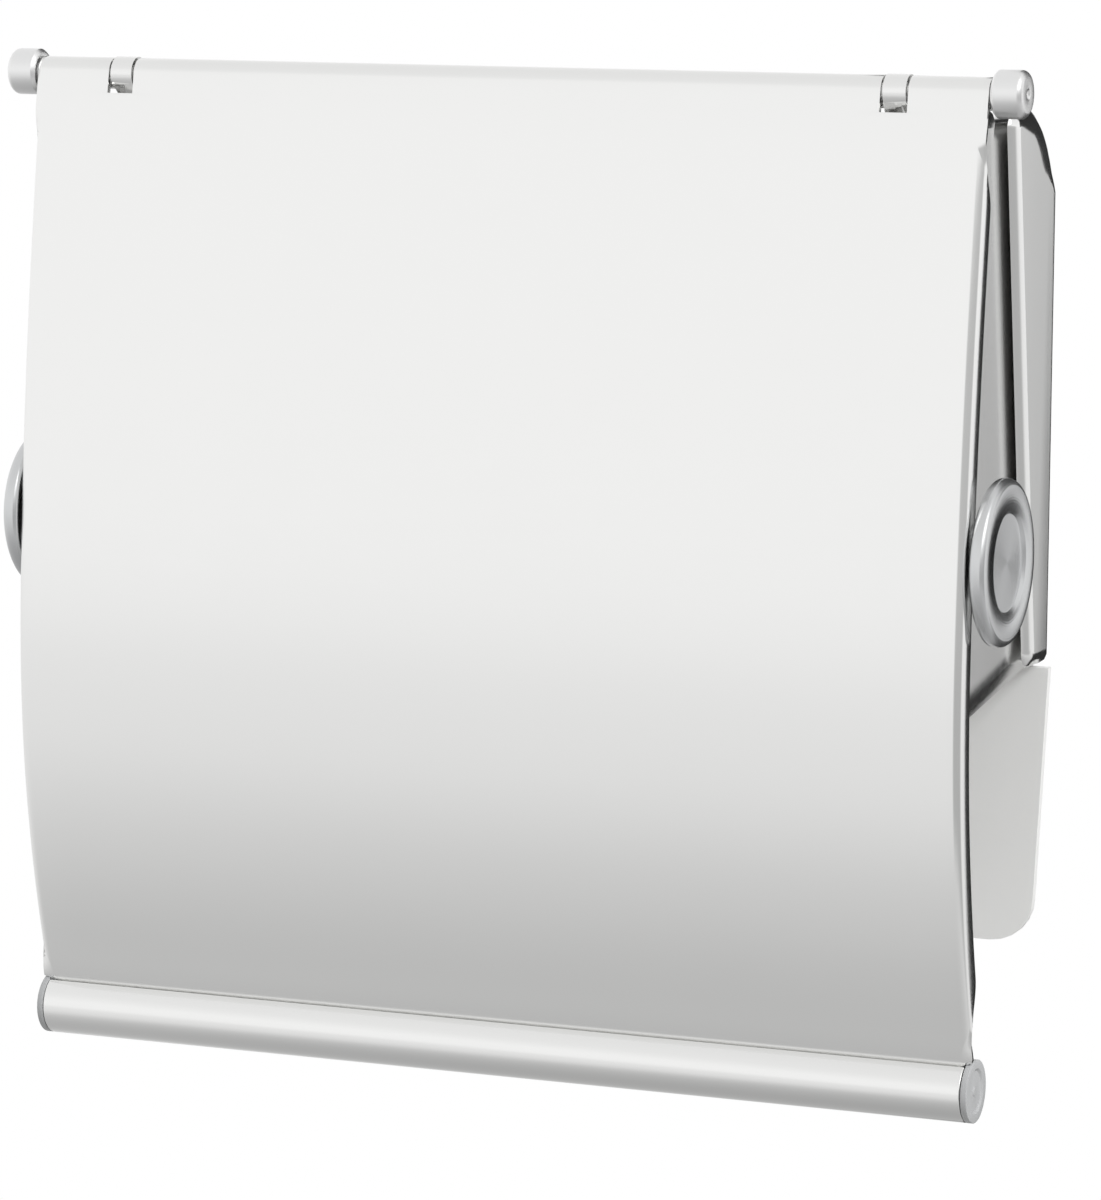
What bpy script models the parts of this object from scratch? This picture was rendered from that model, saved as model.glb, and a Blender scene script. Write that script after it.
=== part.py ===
# Wall-mounted toilet roll holder with a hinged front cover.
# Metres, +Z up. The wall is the plane Y = 0 and the room is on the -Y side.
# The origin is the middle of the bracket's wall face.

import math

import bmesh
import bpy
import numpy as np

for old in list(bpy.data.objects):
    bpy.data.objects.remove(old, do_unlink=True)

# Overall sizes
cover_width = 0.130
cover_height = 0.130
hinge_reach = 0.056
plate_top_drop = 0.0175
plate_bottom_rise = 0.0118
sheet_thickness = 0.0008
bracket_thickness = 0.0012
fit_gap = 0.0003
running_clearance = 0.00005

# Hinge
rod_radius = 0.0012
knob_radius = 0.0030
knob_length = 0.0041
knob_hole_depth = 0.0028
knob_edge_round = 0.0009
curl_turn_share = 0.80
hinge_eye_radius = 0.0022
hinge_notch_side = 0.0003
hinge_notch_depth = 0.0025

# Cover sheet
cover_bulge = 0.0071
return_depth = 0.0037
return_bend = 0.0014
return_start_drop = 0.0056
return_taper = 0.0040
tongue_inset = 0.0010
# Drop below the top edge and forward bulge, as shares of the sheet's drop and of cover_bulge
profile_shares = (
    (0.0000, 0.000),
    (0.0642, 0.189),
    (0.1460, 0.378),
    (0.2278, 0.549),
    (0.3096, 0.695),
    (0.3914, 0.817),
    (0.4740, 0.915),
    (0.5558, 0.982),
    (0.6213, 1.000),
    (0.6867, 0.963),
    (0.7513, 0.866),
    (0.8176, 0.695),
    (0.8667, 0.530),
    (0.9157, 0.329),
    (0.9566, 0.140),
    (0.9869, -0.012),
    (1.0000, -0.092),
)
tongue_start = 0.0018
tongue_length = 0.00205
return_tail_share = 0.04

# Grip bead along the bottom edge
bead_radius = 0.0040
bead_wall = 0.0011
bead_setback = 0.0018
bead_slit = 0.0014
cap_flange = 0.0008
cap_stem_length = 0.0050
cap_stem_share = 0.5
cap_edge_round = 0.0003

# Wall tray and the roll bracket's ears
ear_side_gap = 0.00875
flange_rim_reach = 0.0030
flange_top_reach = 0.0203
flange_low_reach = 0.0104
flange_corner = 0.0030
wing_taper = 0.0016
plate_corner = 0.0060
ear_flange_gap = 0.00065
ear_rim_reach = 0.0030
bend_radius = 0.0026
ear_top_drop = 0.0054
ear_top_corner = 0.0118
ear_front_drop_share = 0.6808
ear_back_drop_share = 0.6180
ear_front_corner = 0.0060
ear_front_clearance = 0.0022

# Roll spindle
spindle_setback = 0.0020
spindle_drop_share = 0.45923
spindle_radius = 0.0035
spindle_lift = 0.0100
slot_clearance = 0.00025
neck_radius = 0.0045
neck_clearance = 0.0005
disc_radius = 0.0105
disc_thickness = 0.0021
disc_edge_round = 0.0009
disc_clearance = 0.0004
disc_groove_share = 0.62
disc_root_share = 0.3
disc_dish = 0.0004
spindle_hole_end = 0.0012

# Roller on the spindle
roller_cover_gap = 0.00122
roller_wall = 0.0014
roller_side_gap = 0.00225
bush_flange = 0.0012
bush_length = 0.0100
bush_relief = 0.0010

# Cover buffers and wall screws
buffer_radius = 0.0035
buffer_drop_share = 0.5731
buffer_edge_round = 0.0006
screw_head_radius = 0.0041
screw_head_height = 0.0026
screw_shank_radius = 0.0020
screw_side_inset = 0.01575
screw_upper_inset = 0.0155
screw_lower_inset = 0.0110
screw_recess_radius = 0.0016
screw_recess_depth = 0.0014
screw_dome_share = 0.45
screw_dome_reach_share = 1.2

round_steps = 32
arc_steps = 6
bend_steps = 4
front_steps = 12
fold_steps = 4
curl_steps = 20
sheet_steps = 30
cutter_margin = 0.0020

# Levels that follow from the sizes above
plate_height = cover_height - plate_top_drop - plate_bottom_rise
plate_top = plate_height / 2
cover_top = plate_top + plate_top_drop
tongue_drop = cover_height - 2 * bead_radius - tongue_start
sheet_drop = tongue_drop + tongue_length
curl_mid_radius = rod_radius + running_clearance + sheet_thickness / 2
curl_radius = curl_mid_radius + sheet_thickness / 2
hinge_z = cover_top - curl_radius
hinge_y = -hinge_reach
bead_z = cover_top - cover_height + bead_radius
bead_y = -(hinge_reach + curl_radius - bead_setback)
flange_outer = cover_width / 2 - ear_side_gap
flange_inner = flange_outer - bracket_thickness
ear_half_span = flange_inner - ear_flange_gap
seat_depth = bracket_thickness + fit_gap
ear_inner = ear_half_span - bracket_thickness
rim_inner = ear_half_span - ear_rim_reach
spindle_y = spindle_setback - hinge_reach
spindle_z = cover_top - cover_height * spindle_drop_share
roller_half_length = rim_inner - roller_side_gap
disc_inner = cover_width / 2 + disc_clearance
neck_inner = ear_half_span + neck_clearance
slot_half = spindle_radius + slot_clearance
knob_inner = cover_width / 2 + fit_gap

main_collection = bpy.data.collections.new("toilet_roll_holder")
cutter_collection = bpy.data.collections.new("cutters")
bpy.context.scene.collection.children.link(main_collection)
bpy.context.scene.collection.children.link(cutter_collection)


def material(name, colour, metallic, roughness):
    made = bpy.data.materials.new(name)
    made.use_nodes = True
    shader = made.node_tree.nodes["Principled BSDF"]
    shader.inputs["Base Color"].default_value = colour
    shader.inputs["Metallic"].default_value = metallic
    shader.inputs["Roughness"].default_value = roughness
    return made


polished_steel = material("polished_steel", (0.80, 0.80, 0.80, 1), 1.0, 0.12)
satin_steel = material("satin_steel", (0.66, 0.66, 0.66, 1), 1.0, 0.30)
zinc_steel = material("zinc_steel", (0.60, 0.61, 0.62, 1), 1.0, 0.35)
grey_nylon = material("grey_nylon", (0.34, 0.34, 0.35, 1), 0.0, 0.50)
black_rubber = material("black_rubber", (0.03, 0.03, 0.03, 1), 0.0, 0.80)


def add_object(name, mesh, finish, collection=main_collection):
    made = bpy.data.objects.new(name, mesh)
    collection.objects.link(made)
    if finish:
        mesh.materials.append(finish)
    return made


def smooth(mesh):
    for face in mesh.polygons:
        face.use_smooth = True


def mesh_from(name, points, faces):
    """Closed mesh with its faces turned outwards."""
    mesh = bpy.data.meshes.new(name)
    build = bmesh.new()
    made = [build.verts.new(point) for point in points]
    for face in faces:
        build.faces.new([made[index] for index in face])
    bmesh.ops.recalc_face_normals(build, faces=build.faces)
    build.to_mesh(mesh)
    build.free()
    return mesh


def cutter(name, mesh):
    made = add_object(name, mesh, None, cutter_collection)
    made.hide_render = True
    made.display_type = "WIRE"
    return made


def cut(target, tool):
    modifier = target.modifiers.new(f"cut_{tool.name}", "BOOLEAN")
    modifier.operation = "DIFFERENCE"
    modifier.solver = "EXACT"
    modifier.object = tool


def join(target, tool):
    modifier = target.modifiers.new(f"join_{tool.name}", "BOOLEAN")
    modifier.operation = "UNION"
    modifier.solver = "EXACT"
    modifier.object = tool


def arc(centre, radius, start, end, steps):
    """Points of an arc in a plane, angles in degrees."""
    return [
        (
            centre[0] + radius * math.cos(math.radians(start + (end - start) * k / steps)),
            centre[1] + radius * math.sin(math.radians(start + (end - start) * k / steps)),
        )
        for k in range(steps + 1)
    ]


def slab(name, outline, low_x, high_x):
    """Flat plate: an outline of (y, z) points, thick along X."""
    count = len(outline)
    points = [(low_x, y, z) for y, z in outline] + [(high_x, y, z) for y, z in outline]
    faces = [list(range(count)), list(range(count, 2 * count))]
    for k in range(count):
        n = (k + 1) % count
        faces.append([k, n, count + n, count + k])
    return mesh_from(name, points, faces)


def turned(name, profile, finish, side, place, steps=round_steps):
    """Turned piece about X: the profile is (distance along X, radius) pairs from the inner end outwards."""
    mesh = bpy.data.meshes.new(name)
    build = bmesh.new()
    made = [build.verts.new((radius, 0, -along)) for along, radius in profile]
    for first, second in zip(made, made[1:]):
        build.edges.new((first, second))
    build.to_mesh(mesh)
    build.free()
    piece = add_object(name, mesh, finish)
    screw = piece.modifiers.new("turn", "SCREW")
    screw.axis = "Z"
    screw.angle = 2 * math.pi
    screw.steps = steps
    screw.render_steps = steps
    screw.screw_offset = 0
    screw.use_merge_vertices = True
    screw.merge_threshold = 0.00001
    screw.use_smooth_shade = True
    piece.rotation_euler = (0, -side * math.pi / 2, 0)
    piece.location = place
    return piece


# Cover sheet profile, from the tail of the curl over the rod down to the tongue in the bead
def profile_line():
    drops = np.array([share[0] for share in profile_shares]) * sheet_drop
    bulges = np.array([share[1] for share in profile_shares]) * cover_bulge
    count = len(drops)
    step = np.diff(drops)
    matrix = np.zeros((count, count))
    right = np.zeros(count)
    matrix[0, 0] = matrix[-1, -1] = 1
    for k in range(1, count - 1):
        matrix[k, k - 1] = step[k - 1]
        matrix[k, k] = 2 * (step[k - 1] + step[k])
        matrix[k, k + 1] = step[k]
        right[k] = 6 * ((bulges[k + 1] - bulges[k]) / step[k] - (bulges[k] - bulges[k - 1]) / step[k - 1])
    bend = np.linalg.solve(matrix, right)

    def at(drop):
        k = int(min(max(np.searchsorted(drops, drop) - 1, 0), count - 2))
        width = step[k]
        before = drops[k + 1] - drop
        after = drop - drops[k]
        return (
            bend[k] * before**3 / (6 * width)
            + bend[k + 1] * after**3 / (6 * width)
            + (bulges[k] / width - bend[k] * width / 6) * before
            + (bulges[k + 1] / width - bend[k + 1] * width / 6) * after
        )

    return at


bulge_at = profile_line()
start_slope = bulge_at(sheet_drop / 1000) / (sheet_drop / 1000)
start_angle = math.atan(start_slope)


def sheet_y(drop_below_hinge):
    """Middle of the cover sheet at a drop below its first point on the curl."""
    return -(hinge_reach + curl_mid_radius * math.cos(start_angle) + bulge_at(drop_below_hinge))


sheet_top_z = hinge_z + curl_mid_radius * math.sin(start_angle)

path = []
for k in range(curl_steps):
    turn = start_angle + 2 * math.pi * curl_turn_share * (1 - k / curl_steps)
    path.append((hinge_y - curl_mid_radius * math.cos(turn), hinge_z + curl_mid_radius * math.sin(turn)))
fold_drops = [return_start_drop + return_taper * k / fold_steps for k in range(fold_steps + 1)]
fold_drops += [tongue_drop - fit_gap - return_taper * k / fold_steps for k in range(fold_steps + 1)]
fold_drops += [0.0, tongue_drop, tongue_drop + fit_gap, sheet_drop]
sheet_drops = list(fold_drops)
for k in range(sheet_steps + 1):
    drop = sheet_drop * k / sheet_steps
    if min(abs(drop - other) for other in fold_drops) > sheet_thickness:
        sheet_drops.append(drop)
for drop in sorted(sheet_drops):
    path.append((sheet_y(drop), sheet_top_z - drop))


def fold_amount(index):
    """How far the side return is folded at a point of the path: 0 flat, 1 full depth."""
    if index < curl_steps:
        return 0.0
    drop = sheet_top_z - path[index][1]
    top = (drop - return_start_drop) / return_taper
    low = (tongue_drop - fit_gap - drop) / return_taper
    return max(0.0, min(1.0, top, low))


def section(fold, half_width):
    """Outer side of the sheet's cross-section for +X: (x, depth behind the front face, outward x, outward depth)."""
    turn_share = min(1.0, fold * 2)
    reach_share = max(0.0, fold * 2 - 1)
    angle = math.radians(90 * turn_share)
    flat = half_width - return_bend
    points = [(0.0, 0.0, 0.0, -1.0), (flat / 2, 0.0, 0.0, -1.0)]
    for k in range(fold_steps + 1):
        part = angle * k / fold_steps
        points.append(
            (
                flat + return_bend * math.sin(part),
                return_bend * (1 - math.cos(part)),
                math.sin(part),
                -math.cos(part),
            )
        )
    if turn_share < 0.999:
        length = return_bend * (1 - math.sin(angle)) / math.cos(angle)
    else:
        length = 0.0
    length = max(length, (return_depth - return_bend) * reach_share, return_bend * return_tail_share)
    last = points[-1]
    points.append((last[0] - length * last[3], last[1] + length * last[2], last[2], last[3]))
    return points


def cover_mesh():
    points = []
    rings = len(path)
    for index, (y, z) in enumerate(path):
        before = path[max(index - 1, 0)]
        after = path[min(index + 1, rings - 1)]
        along = (after[0] - before[0], after[1] - before[1])
        size = math.hypot(*along)
        along = (along[0] / size, along[1] / size)
        normal = (along[1], -along[0])
        drop = sheet_top_z - z
        near_end = index >= curl_steps and drop > tongue_drop + fit_gap / 2
        half_width = cover_width / 2 - (tongue_inset if near_end else 0)
        right = section(fold_amount(index), half_width)
        outer = [(-x, d, -nx, nd) for x, d, nx, nd in reversed(right[1:])] + right
        inner = [(x - nx * sheet_thickness, d - nd * sheet_thickness) for x, d, nx, nd in reversed(outer)]
        ring = [(x, d) for x, d, _, _ in outer] + inner
        for x, depth in ring:
            offset = sheet_thickness / 2 - depth
            points.append((x, y + normal[0] * offset, z + normal[1] * offset))
    width = len(ring)
    faces = [list(range(width)), list(range((rings - 1) * width, rings * width))]
    for index in range(rings - 1):
        for k in range(width):
            n = (k + 1) % width
            low = index * width
            high = low + width
            faces.append([low + k, low + n, high + n, high + k])
    return mesh_from("cover_sheet", points, faces)


# Cover sheet: pressed steel, curled over the hinge rod, with shallow side returns
cover_sheet = add_object("cover_sheet", cover_mesh(), polished_steel)
smooth(cover_sheet.data)
for side, word in ((-1, "left"), (1, "right")):
    middle = side * (ear_half_span + rim_inner) / 2
    half = ear_rim_reach / 2 + hinge_notch_side
    notch = cutter(
        f"hinge_notch_{word}",
        slab(
            f"hinge_notch_{word}",
            [
                (hinge_y - curl_radius - cutter_margin, hinge_z - hinge_notch_depth),
                (hinge_y + curl_radius + cutter_margin, hinge_z - hinge_notch_depth),
                (hinge_y + curl_radius + cutter_margin, cover_top + cutter_margin),
                (hinge_y - curl_radius - cutter_margin, cover_top + cutter_margin),
            ],
            middle - half,
            middle + half,
        ),
    )
    cut(cover_sheet, notch)


# Grip bead: slit tube pushed over the sheet's bottom tongue, closed by two caps
slit_angle = math.degrees(
    math.atan2(sheet_top_z - tongue_drop - bead_z, sheet_y(tongue_drop) - bead_y)
)
slit_outer = math.degrees(math.asin(bead_slit / 2 / bead_radius))
slit_inner = math.degrees(math.asin(bead_slit / 2 / (bead_radius - bead_wall)))
bead_outline = arc(
    (bead_y, bead_z), bead_radius, slit_angle + slit_outer, slit_angle + 360 - slit_outer, round_steps
) + arc(
    (bead_y, bead_z),
    bead_radius - bead_wall,
    slit_angle + 360 - slit_inner,
    slit_angle + slit_inner,
    round_steps,
)
bead_half = cover_width / 2 - cap_flange - fit_gap / 3
grip_bead = add_object("grip_bead", slab("grip_bead", bead_outline, -bead_half, bead_half), polished_steel)

stem_radius = bead_radius - bead_wall - fit_gap / 3
for side, word in ((-1, "left"), (1, "right")):
    cap = turned(
        f"bead_cap_{word}",
        [
            (-cap_stem_length - cap_flange, 0),
            (-cap_stem_length - cap_flange, stem_radius * cap_stem_share),
            (-cap_flange, stem_radius * cap_stem_share),
            (-cap_flange, bead_radius),
            (-cap_edge_round, bead_radius),
            (0, bead_radius - cap_edge_round),
            (0, 0),
        ],
        grey_nylon,
        side,
        (side * cover_width / 2, bead_y, bead_z),
    )


# Wall tray: back plate with two tapered side flanges, pressed from one sheet
def front_y(z, behind):
    """Ear's front edge, a set distance behind the cover sheet's inner face."""
    drop = max(0.0, sheet_top_z - z)
    return sheet_y(drop) + sheet_thickness / 2 + behind


def pressed(name, outline_at, near, far, side):
    """Slab along X whose outer edge is rounded by the bend: outline_at(inset) has one point count."""
    rings = [(near, outline_at(0.0))]
    for k in range(bend_steps + 1):
        turn = math.radians(90 * k / bend_steps)
        rings.append((far - side * bend_radius * (1 - math.sin(turn)), outline_at(bend_radius * (1 - math.cos(turn)))))
    count = len(rings[0][1])
    points = [(x, y, z) for x, outline in rings for y, z in outline]
    faces = [list(range(count)), list(range((len(rings) - 1) * count, len(rings) * count))]
    for ring in range(len(rings) - 1):
        for k in range(count):
            n = (k + 1) % count
            low = ring * count
            high = low + count
            faces.append([low + k, low + n, high + n, high + k])
    return mesh_from(name, points, faces)


def flange_outline(inset):
    """Side view of a tray flange, moved inwards by inset."""
    top = cover_top - ear_top_drop
    corner = flange_corner
    return (
        [(-inset, flange_low + inset)]
        + arc((-ear_top_corner, top - ear_top_corner), ear_top_corner - inset, 0, 90, arc_steps)
        + arc((-flange_top_reach + corner, top - corner), corner - inset, 90, 170, arc_steps)
        + arc((-flange_low_reach + corner, flange_low + corner), corner - inset, 170, 270, arc_steps)
    )


def flange_pocket_outline():
    """Inside of a tray flange, open to the front and below."""
    top = cover_top - ear_top_drop
    front = -flange_top_reach - cutter_margin
    return (
        [(-bracket_thickness, flange_low - cutter_margin)]
        + arc(
            (-ear_top_corner, top - ear_top_corner), ear_top_corner - bracket_thickness, 0, 90, arc_steps
        )
        + [(front, top - bracket_thickness), (front, flange_low - cutter_margin)]
    )


flange_low = cover_top - cover_height * ear_back_drop_share
plate_half = flange_outer - bend_radius
wing_low = plate_corner - plate_top
tray_half = (
    [(plate_half, plate_top), (plate_half, flange_low - fit_gap), (flange_outer, flange_low - fit_gap)]
    + [
        (x, z)
        for x, z in reversed(
            arc((flange_outer - wing_taper - plate_corner, wing_low), plate_corner, 270, 360, arc_steps)
        )
    ]
)
tray_outline = tray_half + [(-x, z) for x, z in reversed(tray_half)]


def back_plate(name, outline, back, front):
    """Flat plate: an outline of (x, z) points, thick along Y."""
    count = len(outline)
    points = [(x, back, z) for x, z in outline] + [(x, front, z) for x, z in outline]
    faces = [list(range(count)), list(range(count, 2 * count))]
    for k in range(count):
        n = (k + 1) % count
        faces.append([k, n, count + n, count + k])
    return mesh_from(name, points, faces)


wall_bracket = add_object(
    "wall_bracket", back_plate("wall_bracket", tray_outline, 0, -bracket_thickness), satin_steel
)
for side, word in ((-1, "left"), (1, "right")):
    near = side * (flange_outer - flange_rim_reach)
    far = side * flange_outer
    flange = cutter(f"flange_{word}", pressed(f"flange_{word}", flange_outline, near, far, side))
    pocket = cutter(
        f"flange_pocket_{word}",
        slab(f"flange_pocket_{word}", flange_pocket_outline(), near - side * cutter_margin, side * flange_inner),
    )
    cut(flange, pocket)
    join(wall_bracket, flange)


# Roll bracket: plate and two ears pressed from one sheet, standing inside the tray
def ear_outline(inset):
    """Side view of an ear, moved inwards by inset."""
    top = cover_top - ear_top_drop
    low_back = flange_low + inset
    low_front = cover_top - cover_height * ear_front_drop_share + inset
    step = -flange_top_reach - fit_gap - inset
    # Wall side, up to the rounded corner under the flange, and the step in front of the flange
    points = [(-seat_depth - inset, low_back)]
    points += arc(
        (-ear_top_corner, top - ear_top_corner), ear_top_corner - seat_depth - inset, 0, 90, arc_steps
    )
    points += [(step, top - seat_depth - inset), (step, top - inset)]
    # Rise to the hinge eye and round it
    rise = hinge_eye_radius * math.sin(math.pi / 4)
    points.append((hinge_y + rise + hinge_z + rise - top + inset, top - inset))
    points += arc((hinge_y, hinge_z), hinge_eye_radius, 45, 215, 10)
    first = hinge_z - hinge_eye_radius - hinge_notch_depth
    return points + front_edge(first, low_front, inset)


def ear_pocket_outline():
    """Inside of an ear, clear of the hinge eye."""
    inset = bracket_thickness
    top = cover_top - ear_top_drop
    low_front = cover_top - cover_height * ear_front_drop_share + inset
    step = -flange_top_reach - fit_gap - inset
    points = [(-seat_depth - inset, flange_low + inset)]
    points += arc(
        (-ear_top_corner, top - ear_top_corner), ear_top_corner - seat_depth - inset, 0, 90, arc_steps
    )
    points += [(step, top - seat_depth - inset), (step, top - inset)]
    return points + front_edge(top - inset, low_front, inset)


def front_edge(first, low_front, inset):
    """Ear's front edge behind the cover and its bottom corner."""
    last = low_front + ear_front_corner
    points = []
    for k in range(front_steps + 1):
        z = first + (last - first) * k / front_steps
        points.append((front_y(z, ear_front_clearance + inset), z))
    end = points[-1]
    for k in range(1, arc_steps + 1):
        turn = math.radians(90 * k / arc_steps)
        points.append(
            (
                end[0] + ear_front_corner * (1 - math.cos(turn)),
                end[1] - ear_front_corner * math.sin(turn),
            )
        )
    return points


def slot_outline():
    """Hook-shaped slot: a seat, a vertical leg and a way out to the front."""
    high = spindle_z + spindle_lift
    out = -(hinge_reach + cover_bulge + cutter_margin)
    return (
        [(spindle_y + slot_half, spindle_z)]
        + arc((spindle_y, high), slot_half, 0, 90, arc_steps)
        + [(out, high + slot_half), (out, high - slot_half), (spindle_y - slot_half, high - slot_half)]
        + arc((spindle_y, spindle_z), slot_half, 180, 360, 2 * arc_steps)[:-1]
    )


seat_half = ear_half_span - bend_radius
seat_top = cover_top - ear_top_drop - ear_top_corner
seat_outline = [(seat_half, seat_top), (seat_half, flange_low), (-seat_half, flange_low), (-seat_half, seat_top)]
roll_bracket = add_object(
    "roll_bracket",
    back_plate("roll_bracket", seat_outline, -seat_depth, -seat_depth - bracket_thickness),
    satin_steel,
)
for side, word in ((-1, "left"), (1, "right")):
    near = side * rim_inner
    far = side * ear_half_span
    ear = cutter(f"ear_{word}", pressed(f"ear_{word}", ear_outline, near, far, side))
    pocket = cutter(
        f"ear_pocket_{word}",
        slab(f"ear_pocket_{word}", ear_pocket_outline(), near - side * cutter_margin, side * ear_inner),
    )
    slot = cutter(
        f"spindle_slot_{word}",
        slab(
            f"spindle_slot_{word}", slot_outline(), near - side * cutter_margin, far + side * cutter_margin
        ),
    )
    eye_hole = cutter(
        f"eye_hole_{word}",
        slab(
            f"eye_hole_{word}",
            arc((hinge_y, hinge_z), rod_radius + running_clearance, 0, 360, round_steps)[:-1],
            near - side * cutter_margin,
            far + side * cutter_margin,
        ),
    )
    cut(ear, pocket)
    cut(ear, slot)
    cut(ear, eye_hole)
    join(roll_bracket, ear)

# The upper screws hold both plates, the lower ones the tray alone
screw_x = rim_inner - screw_side_inset
upper_seat = seat_depth + bracket_thickness
screw_places = [
    ("wall_screw_upper_left", -screw_x, plate_top - screw_upper_inset, upper_seat),
    ("wall_screw_upper_right", screw_x, plate_top - screw_upper_inset, upper_seat),
    ("wall_screw_lower_left", -screw_x, screw_lower_inset - plate_top, bracket_thickness),
    ("wall_screw_lower_right", screw_x, screw_lower_inset - plate_top, bracket_thickness),
]
for name, x, z, seat in screw_places:
    mesh = bpy.data.meshes.new(f"hole_{name}")
    build = bmesh.new()
    bmesh.ops.create_cone(
        build,
        cap_ends=True,
        segments=round_steps,
        radius1=screw_shank_radius + fit_gap,
        radius2=screw_shank_radius + fit_gap,
        depth=4 * cutter_margin,
    )
    build.to_mesh(mesh)
    build.free()
    hole = cutter(f"hole_{name}", mesh)
    hole.rotation_euler = (math.pi / 2, 0, 0)
    hole.location = (x, 0, z)
    cut(wall_bracket, hole)
    if seat == upper_seat:
        cut(roll_bracket, hole)


# Wall screws: pan heads against the plates, shown cut off at the wall
for name, x, z, seat in screw_places:
    mesh = bpy.data.meshes.new(name)
    build = bmesh.new()
    half_round = screw_head_height * screw_dome_share
    profile = [
        (0, 0),
        (screw_shank_radius, 0),
        (screw_shank_radius, seat + fit_gap / 3),
        (screw_head_radius, seat + fit_gap / 3),
        (screw_head_radius, seat + screw_head_height - half_round),
    ]
    for k in range(1, 5):
        turn = math.radians(90 * k / 4)
        profile.append(
            (
                screw_head_radius - half_round * screw_dome_reach_share * (1 - math.cos(turn)),
                seat + screw_head_height - half_round + half_round * math.sin(turn),
            )
        )
    profile += [
        (screw_recess_radius, seat + screw_head_height),
        (screw_recess_radius, seat + screw_head_height - screw_recess_depth),
        (0, seat + screw_head_height - screw_recess_depth),
    ]
    made = [build.verts.new((radius, 0, height)) for radius, height in reversed(profile)]
    for first, second in zip(made, made[1:]):
        build.edges.new((first, second))
    build.to_mesh(mesh)
    build.free()
    screw_piece = add_object(name, mesh, zinc_steel)
    turn_screw = screw_piece.modifiers.new("turn", "SCREW")
    turn_screw.axis = "Z"
    turn_screw.angle = 2 * math.pi
    turn_screw.steps = round_steps
    turn_screw.render_steps = round_steps
    turn_screw.use_merge_vertices = True
    turn_screw.merge_threshold = 0.00001
    turn_screw.use_smooth_shade = True
    screw_piece.rotation_euler = (math.pi / 2, 0, 0)
    screw_piece.location = (x, 0, z)


# Hinge rod and its end knobs
rod_half = knob_inner + knob_hole_depth - fit_gap
hinge_rod = turned(
    "hinge_rod",
    [(-rod_half, 0), (-rod_half, rod_radius), (rod_half, rod_radius), (rod_half, 0)],
    polished_steel,
    1,
    (0, hinge_y, hinge_z),
)
for side, word in ((-1, "left"), (1, "right")):
    hole = rod_radius + running_clearance
    profile = [
        (knob_hole_depth, 0),
        (knob_hole_depth, hole),
        (0, hole),
        (0, knob_radius - knob_edge_round / 2),
        (knob_edge_round / 2, knob_radius),
        (knob_length - knob_edge_round, knob_radius),
    ]
    for k in range(1, 5):
        turn = math.radians(90 * k / 4)
        profile.append(
            (
                knob_length - knob_edge_round + knob_edge_round * math.sin(turn),
                knob_radius - knob_edge_round * (1 - math.cos(turn)),
            )
        )
    profile.append((knob_length, 0))
    turned(f"hinge_knob_{word}", profile, polished_steel, side, (side * knob_inner, hinge_y, hinge_z))


# Spindle rod with turned end knobs, seated in the ears' slots
spindle_half = disc_inner - spindle_hole_end
spindle_rod = turned(
    "spindle_rod",
    [(-spindle_half, 0), (-spindle_half, spindle_radius), (spindle_half, spindle_radius), (spindle_half, 0)],
    polished_steel,
    1,
    (0, spindle_y, spindle_z),
)
for side, word in ((-1, "left"), (1, "right")):
    hole = spindle_radius + running_clearance
    neck_length = disc_inner - neck_inner
    profile = [
        (neck_length - spindle_hole_end + fit_gap, 0),
        (neck_length - spindle_hole_end + fit_gap, hole),
        (0, hole),
        (0, neck_radius),
        (neck_length - disc_edge_round, neck_radius),
        (
            neck_length - disc_edge_round * disc_root_share,
            neck_radius + disc_edge_round * disc_root_share,
        ),
        (neck_length, neck_radius + disc_edge_round),
        (neck_length, disc_radius - disc_edge_round),
    ]
    for k in range(1, 5):
        turn = math.radians(90 * k / 4)
        profile.append(
            (
                neck_length + disc_edge_round * (1 - math.cos(turn)),
                disc_radius - disc_edge_round * (1 - math.sin(turn)),
            )
        )
    for k in range(0, 5):
        turn = math.radians(90 * k / 4)
        profile.append(
            (
                neck_length + disc_thickness - disc_edge_round * (1 - math.sin(turn)),
                disc_radius - disc_edge_round * (1 - math.cos(turn)),
            )
        )
    profile += [
        (neck_length + disc_thickness, disc_radius * disc_groove_share),
        (neck_length + disc_thickness - disc_dish, disc_radius * disc_groove_share - disc_dish),
        (neck_length + disc_thickness - disc_dish, 0),
    ]
    turned(f"spindle_knob_{word}", profile, polished_steel, side, (side * neck_inner, spindle_y, spindle_z))


# Roller: a tube turning on the spindle on two plastic bushes, just clear of the closed cover
sheet_inner_y = sheet_y(sheet_top_z - spindle_z) + sheet_thickness / 2
roller_radius = spindle_y - sheet_inner_y - roller_cover_gap
roller_tube = turned(
    "roller_tube",
    [
        (-roller_half_length, roller_radius - roller_wall),
        (-roller_half_length, roller_radius),
        (roller_half_length, roller_radius),
        (roller_half_length, roller_radius - roller_wall),
        (-roller_half_length, roller_radius - roller_wall),
    ],
    satin_steel,
    1,
    (0, spindle_y, spindle_z),
)
for side, word in ((-1, "left"), (1, "right")):
    hole = spindle_radius + running_clearance
    plug = roller_radius - roller_wall - fit_gap / 3
    turned(
        f"roller_bush_{word}",
        [
            (-bush_length, hole + bush_relief),
            (-bush_length, plug),
            (fit_gap / 3, plug),
            (fit_gap / 3, roller_radius - fit_gap),
            (bush_flange - fit_gap, roller_radius - fit_gap),
            (bush_flange, roller_radius - 2 * fit_gap),
            (bush_flange, hole),
            (-bush_length + bush_relief, hole),
            (-bush_length, hole + bush_relief),
        ],
        grey_nylon,
        side,
        (side * roller_half_length, spindle_y, spindle_z),
    )


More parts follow.
